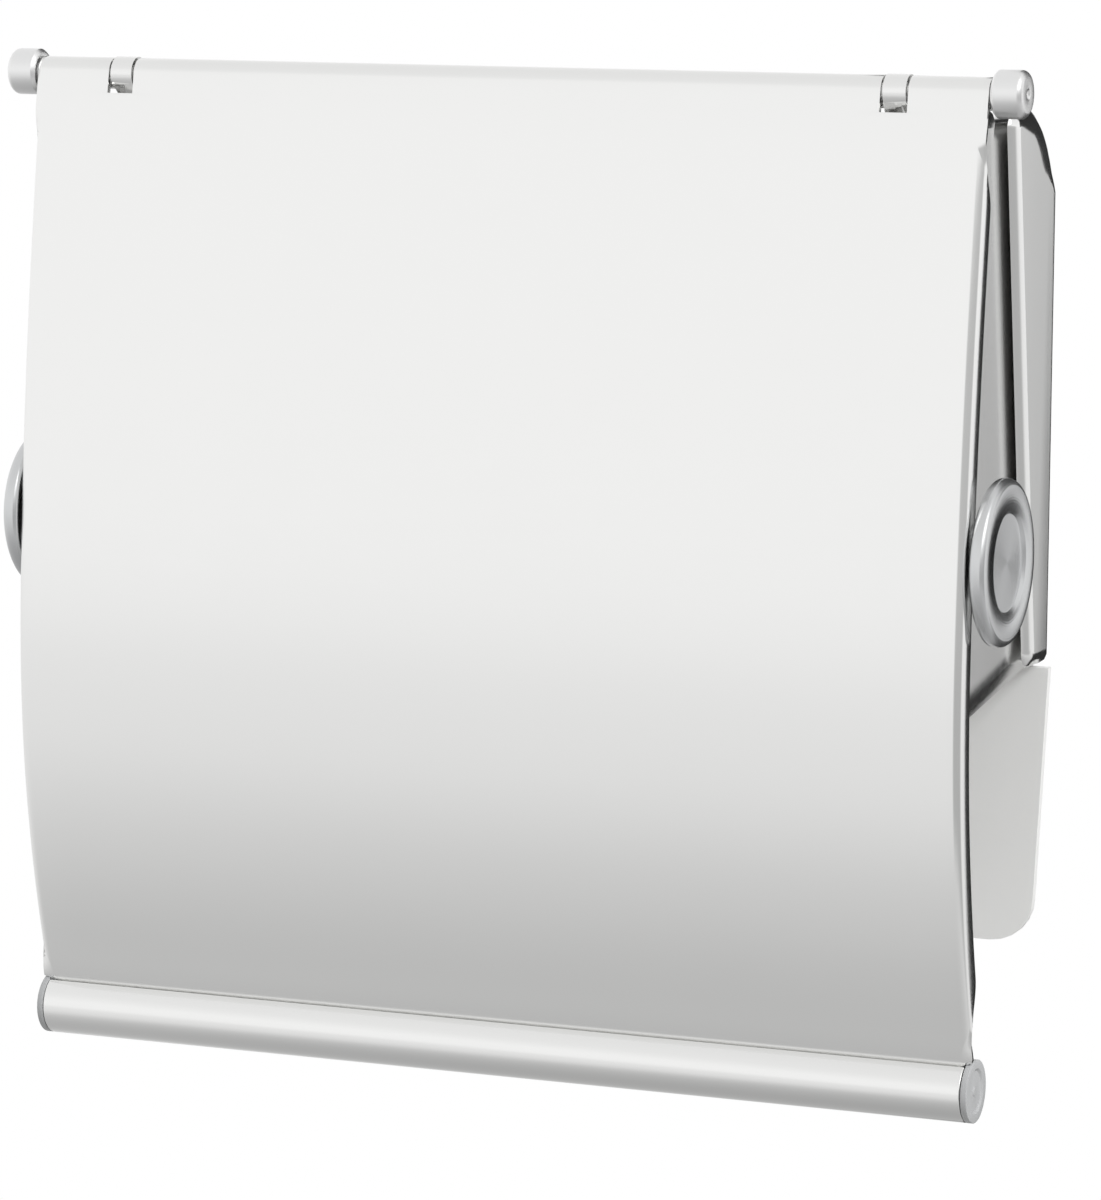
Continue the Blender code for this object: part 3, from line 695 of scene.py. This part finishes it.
# Bead caps: pushed-in nylon plugs with a shallow dish and the mark of the moulding gate
beadCap = {
    "flange": 0.8,
    "radius": 4.0,
    "stem": 5.0,
    "stemRadius": 1.4,
    "dish": 2.6,
    "dishSlope": 0.3,
    "dishDepth": 0.25,
    "gate": 0.5,
    "gateSlope": 0.1,
    "gateRise": 0.12,
    "edge": 0.1,
}
for side, word in sides:
    profile = [
        (-beadCap["stem"] - beadCap["flange"], 0),
        (-beadCap["stem"] - beadCap["flange"], beadCap["stemRadius"]),
        (-beadCap["flange"], beadCap["stemRadius"]),
        (-beadCap["flange"], beadCap["radius"]),
        (0, beadCap["radius"]),
        (0, beadCap["dish"] + beadCap["dishSlope"]),
        (-beadCap["dishDepth"], beadCap["dish"]),
        (-beadCap["dishDepth"], beadCap["gate"] + beadCap["gateSlope"]),
        (-beadCap["dishDepth"] + beadCap["gateRise"], beadCap["gate"]),
        (-beadCap["dishDepth"] + beadCap["gateRise"], 0),
    ]
    build = turnedShape(profile, side * coverSheet["width"] / 2, side, beadAxis, beadCap["edge"])
    finishPiece(f"beadCap{word}", build, [nylon], "cover", f"bead_cap_{word.lower()}")
print("bead caps made")


# Hinge rod and its pressed-on end knobs
hingeParts = {
    "rodEdge": 0.2,
    "gap": 0.3,
    "knobRadius": 3.0,
    "knobLength": 4.1,
    "knobHole": 2.8,
    "knobRound": 0.9,
    "knobEdge": 0.1,
    "dimple": 0.5,
    "dimpleSide": 0.2,
    "dimpleDepth": 0.3,
    "rodSteps": 64,
}
knobInner = coverSheet["width"] / 2 + hingeParts["gap"]
rodHalf = knobInner + hingeParts["knobHole"] - hingeParts["gap"]
profile = [(-rodHalf, 0), (-rodHalf, rodRadius), (rodHalf, rodRadius), (rodHalf, 0)]
build = turnedShape(profile, 0, 1, hingeAxis, hingeParts["rodEdge"], steps=hingeParts["rodSteps"])
finishPiece("hingeRodDrawn", build, [hingeChrome], "bracket", "hinge_rod")
hole, holeDepth = rodRadius + fitGap, hingeParts["knobHole"]
length, radius, bend = hingeParts["knobLength"], hingeParts["knobRadius"], hingeParts["knobRound"]
dimple, dimpleSide = hingeParts["dimple"], hingeParts["dimpleSide"]
dimpleFloor = length - hingeParts["dimpleDepth"]
for side, word in sides:
    profile = [(holeDepth, 0), (holeDepth, hole), (0, hole), (0, radius - bend / 2), (bend / 2, radius)]
    for sine, cosine in reversed(quarter):
        profile.append((length - bend + bend * cosine, radius - bend + bend * sine))
    profile += [(length, dimple + dimpleSide), (length - dimpleSide, dimple), (dimpleFloor, 0)]
    build = turnedShape(profile, side * knobInner, side, hingeAxis, hingeParts["knobEdge"])
    node = f"hinge_knob_{word.lower()}"
    finishPiece(f"hingeKnob{word}", build, [hingeChrome], "bracket", node)
print("hinge made")


# Spindle rod and its turned end knobs: a neck and a dished disc
spindleParts = {
    "rodRadius": 3.5,
    "rodEdge": 0.3,
    "neckRadius": 4.5,
    "neckGap": 0.5,
    "discRadius": 10.5,
    "discThick": 2.1,
    "discRound": 0.9,
    "discEdge": 0.08,
    "discSteps": 128,
    "discGap": 0.4,
    "dishShare": 0.62,
    "dishDepth": 0.4,
    "dishFoot": 0.4,
    "lipWidth": 0.15,
    "lipDrop": 0.1,
    "holeEnd": 1.2,  # the rod stops this far short of the disc
    "holeSpare": 0.3,
}
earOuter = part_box("roll_bracket")[1][0] / mm
discInner = coverSheet["width"] / 2 + spindleParts["discGap"]
spindleHalf = discInner - spindleParts["holeEnd"]
radius = spindleParts["rodRadius"]
profile = [(-spindleHalf, 0), (-spindleHalf, radius), (spindleHalf, radius), (spindleHalf, 0)]
build = turnedShape(profile, 0, 1, spindleAxis, spindleParts["rodEdge"])
finishPiece("spindleRodDrawn", build, [spindleChrome], "spindle", "spindle_rod")
spindleHole = spindleParts["rodRadius"] + fitGap
neck, neckRadius = discInner - earOuter - spindleParts["neckGap"], spindleParts["neckRadius"]
holeDepth = neck - spindleParts["holeEnd"] + spindleParts["holeSpare"]
radius, bend = spindleParts["discRadius"], spindleParts["discRound"]
outer = neck + spindleParts["discThick"]
dish, dishFloor = radius * spindleParts["dishShare"], outer - spindleParts["dishDepth"]
for side, word in sides:
    profile = [(holeDepth, 0), (holeDepth, spindleHole), (0, spindleHole), (0, neckRadius)]
    profile += [(neck + bend * (sine - 1), neckRadius + bend * (1 - cosine)) for sine, cosine in quarter]
    profile += [(neck + bend * (1 - cosine), radius - bend * (1 - sine)) for sine, cosine in quarter]
    profile += [(outer - bend * (1 - sine), radius - bend * (1 - cosine)) for sine, cosine in quarter]
    profile += [(outer, dish + spindleParts["lipWidth"]), (outer - spindleParts["lipDrop"], dish)]
    profile += [(dishFloor, dish - spindleParts["dishFoot"]), (dishFloor, 0)]
    start = side * (earOuter + spindleParts["neckGap"])
    steps = spindleParts["discSteps"]
    build = turnedShape(profile, start, side, spindleAxis, spindleParts["discEdge"], steps=steps)
    node = f"spindle_knob_{word.lower()}"
    finishPiece(f"spindleKnob{word}", build, [spindleChrome], "spindle", node)
print("spindle made")


# Roller: steel tube with rolled-in ends, on two nylon bushes with a groove moulded in their flanges
rollerLow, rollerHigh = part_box("roller_tube")
roller = {
    "radius": (rollerHigh[2] - rollerLow[2]) / 2 / mm,
    "half": rollerHigh[0] / mm,
    "wall": 1.4,
    "rolled": 0.3,
    "edge": 0.1,
    "bushFlange": 1.2,
    "bushLength": 10.0,
    "bushGap": 0.1,
    "relief": 1.0,
    "rimWidth": 1.2,
    "hubWidth": 0.9,
    "grooveSlope": 0.3,
    "grooveDepth": 0.4,
}
wall, half, radius = roller["wall"], roller["half"], roller["radius"]
inner, rolled = radius - wall, roller["rolled"]
profile = [(-half, inner), (-half, radius - rolled), (-half + rolled, radius)]
profile += [(half - rolled, radius), (half, radius - rolled), (half, inner), (-half, inner)]
build = turnedShape(profile, 0, 1, spindleAxis, roller["edge"])
finishPiece("rollerTubeRolled", build, [brushed], "roller", "roller_tube")
gap, flange, length, relief = roller["bushGap"], roller["bushFlange"], roller["bushLength"], roller["relief"]
rim = radius - rolled
grooveTop, grooveFoot = rim - roller["rimWidth"], spindleHole + roller["hubWidth"]
slope, grooveFloor = roller["grooveSlope"], flange - roller["grooveDepth"]
for side, word in sides:
    profile = [(-length, spindleHole + relief), (-length, inner - gap), (gap, inner - gap), (gap, rim)]
    profile += [(flange, rim), (flange, grooveTop), (grooveFloor, grooveTop - slope)]
    profile += [(grooveFloor, grooveFoot + slope)]
    profile += [(flange, grooveFoot), (flange, spindleHole), (-length + relief, spindleHole)]
    profile += [(-length, spindleHole + relief)]
    build = turnedShape(profile, side * half, side, spindleAxis, roller["edge"])
    finishPiece(f"rollerBush{word}", build, [nylon], "roller", f"roller_bush_{word.lower()}")
print("roller made")


# Tray and roll bracket: copies of the pressed CAD pieces with their doubles merged and their cut edges eased
pressed = {
    "edge": 0.14,
    "flatDegrees": 0.6,
    "sharpDegrees": 44,
    "normalWeight": 80,
    # limits that tell the plate, the flanges' inner sides and the hooks from the rest, for their finishes
    "plateFacing": 0.9,
    "plateFront": -3.0,
    "inwardFacing": 0.5,
    "flangeEnd": -12.64,
    "hookReach": 2.6,
}


def mergedCopy(node):
    # a CAD node's mesh in millimetres, without its doubles and the lines across its flat faces
    build = bmesh.new()
    build.from_mesh(nodes[node].data)
    bmesh.ops.scale(build, vec=(1 / mm, 1 / mm, 1 / mm), verts=build.verts)
    bmesh.ops.remove_doubles(build, verts=build.verts, dist=weld["copied"])
    flat = math.radians(pressed["flatDegrees"])
    bmesh.ops.dissolve_limit(build, angle_limit=flat, verts=build.verts, edges=build.edges)
    return build


def turnedIn(across, sheet):
    # how far the outside of a sheet's bend has turned in, at this distance from the holder's middle
    share = 1 - (sheet["outer"] - across) / sheet["bend"]
    return sheet["bend"] * (1 - math.sqrt(max(0.0, 1 - share * share)))


# The ears' lower bend is drawn out by the press into a long soft roll
earFoot = {
    "outer": 54.4,
    "bend": 2.6,
    "bendSteps": 4,
    "stretch": 1.9,
    "squash": 0.42,
    "top": -8.0,
    "back": -1.0,
    "front": -53.3,
    "lowFront": -20.65,
    "corner": 6.0,
    # limits that pick out the points of the bend
    "near": 0.1,
    "onArc": 0.02,
}


def rollFoot(build):
    outer, bend, steps = earFoot["outer"], earFoot["bend"], earFoot["bendSteps"]
    arc = [bend * (1 - math.sin(math.radians(90 / steps * k))) for k in range(steps + 1)]
    for point in build.verts:
        across = abs(point.co.x)
        if across < outer - bend + earFoot["near"]:
            continue
        if point.co.z > earFoot["top"] or point.co.y > earFoot["back"]:
            continue
        if min(abs(across - outer + inwards) for inwards in arc) > earFoot["onArc"]:
            continue
        inset = turnedIn(across, earFoot)
        weight = 1.0
        if point.co.y < earFoot["front"]:
            weight = eased(1 - (point.co.z - earFoot["lowFront"] - inset) / earFoot["corner"])
        point.co.z += inset * (earFoot["stretch"] - 1) * weight
        reach = (outer - across) * (1 - (1 - earFoot["squash"]) * weight)
        point.co.x = math.copysign(outer - reach, point.co.x)


# The tray's side flanges have the same soft roll round their upper back corners
flangeTop = {
    "outer": 56.25,
    "bend": 2.6,
    "stretch": 2.1,
    "corner": 11.8,
    "middle": (-11.8, 50.65),
    # share of the stretch at each angle round the corner, from straight back to straight up
    "shares": ((0, 0.0), (15, 0.75), (30, 1.25), (45, 1.35), (60, 1.2), (75, 0.9), (90, 0.5)),
    # limits that pick out the corner's points and the edges of its arcs
    "near": 0.1,
    "slack": 0.05,
    "level": 0.01,
    "sameReach": 0.02,
    "leastReach": 5,
    "leastLength": 0.8,
    "cuts": 2,
}


def fromCorner(point):
    # how far a point lies behind and above the middle of the flange's upper back corner
    return point.co.y - flangeTop["middle"][0], point.co.z - flangeTop["middle"][1]


def placeFromCorner(point, behind, above, larger):
    point.co.y = flangeTop["middle"][0] + behind * larger
    point.co.z = flangeTop["middle"][1] + above * larger


def finerArcs(build):
    # split each step of the corner's arcs in three and set the new points on their arc
    arcLayer = build.verts.layers.float.new("arc")
    arcs = []
    for edge in build.edges:
        places = [fromCorner(point) for point in edge.verts]
        if min(min(place) for place in places) < -flangeTop["slack"]:
            continue
        aways = [math.hypot(*place) for place in places]
        level = abs(edge.verts[0].co.x - edge.verts[1].co.x) < flangeTop["level"]
        onArc = abs(aways[0] - aways[1]) < flangeTop["sameReach"] and min(aways) > flangeTop["leastReach"]
        if level and onArc and edge.calc_length() > flangeTop["leastLength"]:
            arcs.append(edge)
            for point in edge.verts:
                point[arcLayer] = aways[0]
    bmesh.ops.subdivide_edges(build, edges=arcs, cuts=flangeTop["cuts"], use_grid_fill=True)
    for point in build.verts:
        if point[arcLayer] > 0:
            behind, above = fromCorner(point)
            placeFromCorner(point, behind, above, point[arcLayer] / math.hypot(behind, above))


def rollCorner(build):
    finerArcs(build)
    nearest = flangeTop["outer"] - flangeTop["bend"] + flangeTop["near"]
    for point in build.verts:
        across = abs(point.co.x)
        behind, above = fromCorner(point)
        if across < nearest or behind < -flangeTop["slack"] or above < -flangeTop["slack"]:
            continue
        inset = turnedIn(across, flangeTop)
        away = math.hypot(behind, above)
        if abs(away - flangeTop["corner"] + inset) > flangeTop["near"]:
            continue
        turn = math.degrees(math.atan2(above, behind))
        weight = np.interp(turn, *zip(*flangeTop["shares"]))
        placeFromCorner(point, behind, above, (away - inset * (flangeTop["stretch"] - 1) * weight) / away)


def onPlate(face):
    return abs(face.normal.y) > pressed["plateFacing"] and face.calc_center_median().y > pressed["plateFront"]


def trayFinish(face):
    # 1, pickled: the plate, all below the flanges' ends and the flanges' inner sides; 0, buffed: the rest
    middle = face.calc_center_median()
    inward = face.normal.x * middle.x < -pressed["inwardFacing"] * abs(middle.x)
    return int(onPlate(face) or inward or middle.z < pressed["flangeEnd"])


def bracketFinish(face):
    # 2, buffed: the hooks round the hinge rod; 1, mill finish: the plate; 0, brushed: the rest
    middle = face.calc_center_median()
    if math.hypot(middle.y - hingeAxis[0], middle.z - hingeAxis[1]) < pressed["hookReach"]:
        return 2
    return int(onPlate(face))


pressedSheets = (
    ("wall_bracket", "wallTrayPressed", [buffed, pickled, buffed], rollCorner, trayFinish),
    ("roll_bracket", "rollBracketPressed", [brushed, mill, buffed], rollFoot, bracketFinish),
)
for node, name, materials, reshape, finishOf in pressedSheets:
    build = mergedCopy(node)
    reshape(build)
    softenEdges(build, pressed["edge"], segments=2)
    for face in build.faces:
        face.material_index = finishOf(face)
    piece = finishPiece(name, build, materials, "bracket", node, pressed["sharpDegrees"])
    weighted = piece.modifiers.new("weighted", "WEIGHTED_NORMAL")
    weighted.keep_sharp = True
    weighted.weight = pressed["normalWeight"]
print("brackets made")


# Rubber buffers stuck inside the cover
for side in ("left", "right"):
    node = f"cover_buffer_{side}"
    finishPiece(f"coverBuffer{side.capitalize()}", mergedCopy(node), [rubber], "cover", node)
print("buffers made")


# Pan head screws with a cross recess
wallScrew = {
    "head": 4.1,
    "height": 2.6,
    "dome": 1.17,
    "domeSpread": 1.2,
    "shank": 2.0,
    "edge": 0.08,
    "steps": 64,
    "crossHalf": 2.1,
    "crossWidth": 0.45,
    "crossDepth": 1.3,
    "crossTaper": 0.72,
    "topFacing": 0.9,
    "topSlack": 0.01,
}


def topFaces(build, top):
    # the flat faces at the outer end of a screw that lies along X
    found = [face for face in build.faces if face.normal.x > wallScrew["topFacing"]]
    return [face for face in found if face.calc_center_median().x > top - wallScrew["topSlack"]]


def crossRecess(build, top):
    # cut the flat top of a screw head along the cross, then press the cross inwards
    for side in (-1, 1):
        for reach in (wallScrew["crossWidth"], wallScrew["crossHalf"]):
            for normal in ((0, 1, 0), (0, 0, 1)):
                faces = topFaces(build, top)
                edges = dict.fromkeys(edge for face in faces for edge in face.edges)
                points = dict.fromkeys(point for face in faces for point in face.verts)
                place = tuple(side * reach * share for share in normal)
                geom = faces + list(edges) + list(points)
                bmesh.ops.bisect_plane(build, geom=geom, plane_co=place, plane_no=normal)
    cross = []
    for face in topFaces(build, top):
        middle = face.calc_center_median()
        short, long = sorted((abs(middle.y), abs(middle.z)))
        if short < wallScrew["crossWidth"] and long < wallScrew["crossHalf"]:
            cross.append(face)
    sunk = bmesh.ops.extrude_face_region(build, geom=cross)["geom"]
    points = [item for item in sunk if isinstance(item, bmesh.types.BMVert)]
    bmesh.ops.delete(build, geom=[face for face in cross if face.is_valid], context="FACES")
    bmesh.ops.scale(build, vec=(1, wallScrew["crossTaper"], wallScrew["crossTaper"]), verts=points)
    bmesh.ops.translate(build, vec=(-wallScrew["crossDepth"], 0, 0), verts=points)


head, shank, dome = wallScrew["head"], wallScrew["shank"], wallScrew["dome"]
spread = dome * wallScrew["domeSpread"]
for where in ("upper_left", "upper_right", "lower_left", "lower_right"):
    low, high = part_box(f"wall_screw_{where}")
    x, z = (low[0] + high[0]) / 2 / mm, (low[2] + high[2]) / 2 / mm
    reach = -low[1] / mm
    seat = reach - wallScrew["height"]
    profile = [(0, 0), (0, shank), (seat, shank), (seat, head)]
    profile += [(reach - dome * (1 - sine), head - spread * (1 - cosine)) for sine, cosine in quarter]
    profile += [(reach, 0)]
    build = turnedShape(profile, 0, 1, (0, 0), wallScrew["edge"], steps=wallScrew["steps"])
    crossRecess(build, reach)
    toFront = Matrix.Rotation(-math.pi / 2, 3, "Z")
    bmesh.ops.rotate(build, cent=(0, 0, 0), matrix=toFront, verts=build.verts)
    bmesh.ops.translate(build, vec=(x, 0, z), verts=build.verts)
    word = "".join(part.capitalize() for part in where.split("_"))
    finishPiece(f"wallScrew{word}", build, [zinc], "bracket", f"wall_screw_{where}")
print("screws made")


# Floor: pale and matt, well below the holder
floorLook = {
    "drop": 0.30,
    "size": 1.3,
    "colour": "#C4C4C2",
    "rough": 0.9,
    "glow": "#FFFFFF",
    "glowToCamera": 0.45,
}
floorMesh = bpy.data.meshes.new("floor")
floorBuild = bmesh.new()
bmesh.ops.create_grid(floorBuild, x_segments=1, y_segments=1, size=floorLook["size"] / 2)
floorBuild.to_mesh(floorMesh)
floorBuild.free()
floor = bpy.data.objects.new("floor", floorMesh)
floor.location = (0, 0, -floorLook["drop"])
scene.collection.objects.link(floor)
floorShader = {
    "Base Color": hexColour(floorLook["colour"]),
    "Roughness": floorLook["rough"],
    "Emission Color": hexColour(floorLook["glow"]),
}
floorMaterial, floorTree, floorSurface = newMaterial("paleMattFloor", floorShader)
floorMesh.materials.append(floorMaterial)
floorPath = addNode(floorTree, "ShaderNodeLightPath")
floorGlow = addNode(
    floorTree, "ShaderNodeMath",
    {"operation": "MULTIPLY", 1: floorLook["glowToCamera"]},
    {0: floorPath.outputs["Is Camera Ray"]},
)
floorTree.links.new(floorGlow.outputs["Value"], floorSurface.inputs["Emission Strength"])
floor.visible_glossy = False  # metal shows the room's own paler ground
print("floor laid")


# Room: what metal reflects, bright in front of the holder and with a dark panel behind it
# The camera sees plain white instead, and diffuse light is a plain grey
room = {
    "diffuse": 0.50,
    "toCamera": 1.0,
    # brightness at a height of the view direction, from straight down (-1) to straight up (1)
    "heights": (
        (-1.0, 0.42), (-0.75, 0.50), (-0.60, 0.57), (-0.50, 0.65), (-0.42, 0.74), (-0.30, 0.83),
        (-0.14, 0.88), (-0.03, 0.99), (0.25, 1.0), (0.6, 0.90), (1.0, 0.86),
    ),
    # all limits below are shares of the view direction along X, Y and Z, fading from the first to the second
    # the dark panel; above and below the holder's own height it reaches further right
    "panel": {"X left": (-0.28, -0.18), "X right": (0.33, 0.255), "Y": (0.55, 0.75)},
    "panelDark": 0.03,
    "panelAbove": {"Z": (-0.03, 0.05)},
    "panelBelow": {"Z": (-0.17, -0.26)},
    "panelReach": 0.25,
    # a high window and, lower down, a grey corner, both on the right in front of the holder
    "window": {"X": (0.35, 0.60), "Y": (0.05, -0.15), "Z": (0.35, 0.55)},
    "windowExtra": 1.6,
    "corner": {"X": (0.30, 0.55), "Y": (0.45, 0.20), "Z low": (-0.45, -0.30), "Z high": (0.25, 0.10)},
    "cornerLoss": 0.45,
}


def grey(brightness):
    return (brightness, brightness, brightness, 1)


world = bpy.data.worlds.new("whiteStudio")
world.use_nodes = True
scene.world = world
worldTree = world.node_tree
background = worldTree.nodes["Background"]
direction = addNode(worldTree, "ShaderNodeTexCoord")
split = addNode(worldTree, "ShaderNodeSeparateXYZ", links={"Vector": direction.outputs["Generated"]})
height = addNode(
    worldTree, "ShaderNodeMapRange",
    {"From Min": -1.0, "From Max": 1.0},
    {"Value": split.outputs["Z"]},
)
ramp = addNode(worldTree, "ShaderNodeValToRGB", links={"Fac": height.outputs["Result"]})
stops = room["heights"]
for element, (where, bright) in zip(ramp.color_ramp.elements, (stops[0], stops[-1])):
    element.position = (where + 1) / 2
    element.color = grey(bright)
for where, bright in stops[1:-1]:
    element = ramp.color_ramp.elements.new((where + 1) / 2)
    element.color = grey(bright)


def zone(limits, across=None):
    # 0 outside and 1 inside soft limits of the view direction; across gives other sources for some limits
    share = None
    for label, (low, high) in limits.items():
        source = across[label] if across and label in across else split.outputs[label[0]]
        edge = addNode(
            worldTree, "ShaderNodeMapRange",
            {"interpolation_type": "SMOOTHSTEP", "From Min": low, "From Max": high},
            {"Value": source},
        )
        if share:
            links = {0: share, 1: edge.outputs["Result"]}
            share = addNode(worldTree, "ShaderNodeMath", {"operation": "MULTIPLY"}, links).outputs["Value"]
        else:
            share = edge.outputs["Result"]
    return share


def weighed(share, factor, base):
    # share times factor plus base, where base is a number or a socket
    settings, links = {"operation": "MULTIPLY_ADD", 1: factor}, {0: share}
    if isinstance(base, float):
        settings[2] = base
    else:
        links[2] = base
    return addNode(worldTree, "ShaderNodeMath", settings, links).outputs["Value"]


reachAbove = weighed(zone(room["panelAbove"]), -room["panelReach"], split.outputs["X"])
reachBoth = weighed(zone(room["panelBelow"]), -room["panelReach"], reachAbove)
covered = zone(room["panel"], {"X right": reachBoth})
windowLift = weighed(zone(room["window"]), room["windowExtra"], 1.0)
lift = weighed(zone(room["corner"]), -room["cornerLoss"], windowLift)
lifted = addNode(
    worldTree, "ShaderNodeVectorMath", {"operation": "SCALE"},
    {0: ramp.outputs["Color"], "Scale": lift},
)
toMetal = addNode(
    worldTree, "ShaderNodeMix",
    {"data_type": "RGBA", mixSecond: grey(room["panelDark"])},
    {mixShare: covered, mixFirst: lifted.outputs["Vector"]},
)
lightPath = addNode(worldTree, "ShaderNodeLightPath")
toDiffuse = addNode(
    worldTree, "ShaderNodeMix",
    {"data_type": "RGBA", mixSecond: grey(room["diffuse"])},
    {mixShare: lightPath.outputs["Is Diffuse Ray"], mixFirst: toMetal.outputs[mixResult]},
)
toCamera = addNode(
    worldTree, "ShaderNodeMix",
    {"data_type": "RGBA", mixSecond: grey(room["toCamera"])},
    {mixShare: lightPath.outputs["Is Camera Ray"], mixFirst: toDiffuse.outputs[mixResult]},
)
worldTree.links.new(toCamera.outputs[mixResult], background.inputs["Color"])
background.inputs["Strength"].default_value = 1.0
print("room set")


# Lamps: two weak wide ones, and a small one high on the right that lights the holder's right side
lamps = {
    "overhead": {"place": (0.1, -0.5, 0.9), "aim": (0, -0.03, 0), "size": 0.9, "watts": 0.8},
    "frontLeft": {"place": (-0.8, -0.9, 0.35), "aim": (0, -0.03, 0), "size": 0.8, "watts": 0.9},
    "frontRight": {"place": (0.70, -0.36, 0.50), "aim": (0.05, 0, -0.03), "size": 0.25, "watts": 6.6},
}
for lampName, lamp in lamps.items():
    lampData = bpy.data.lights.new(lampName, "AREA")
    lampData.shape = "SQUARE"
    lampData.size = lamp["size"]
    lampData.energy = lamp["watts"]
    lampObject = bpy.data.objects.new(lampName, lampData)
    lampObject.location = lamp["place"]
    lampAim = Vector(lamp["aim"]) - Vector(lamp["place"])
    lampObject.rotation_euler = lampAim.to_track_quat("-Z", "Y").to_euler()
    lampObject.visible_glossy = False  # metal shows the room, not the lamps' squares
    scene.collection.objects.link(lampObject)
print("lamps set")
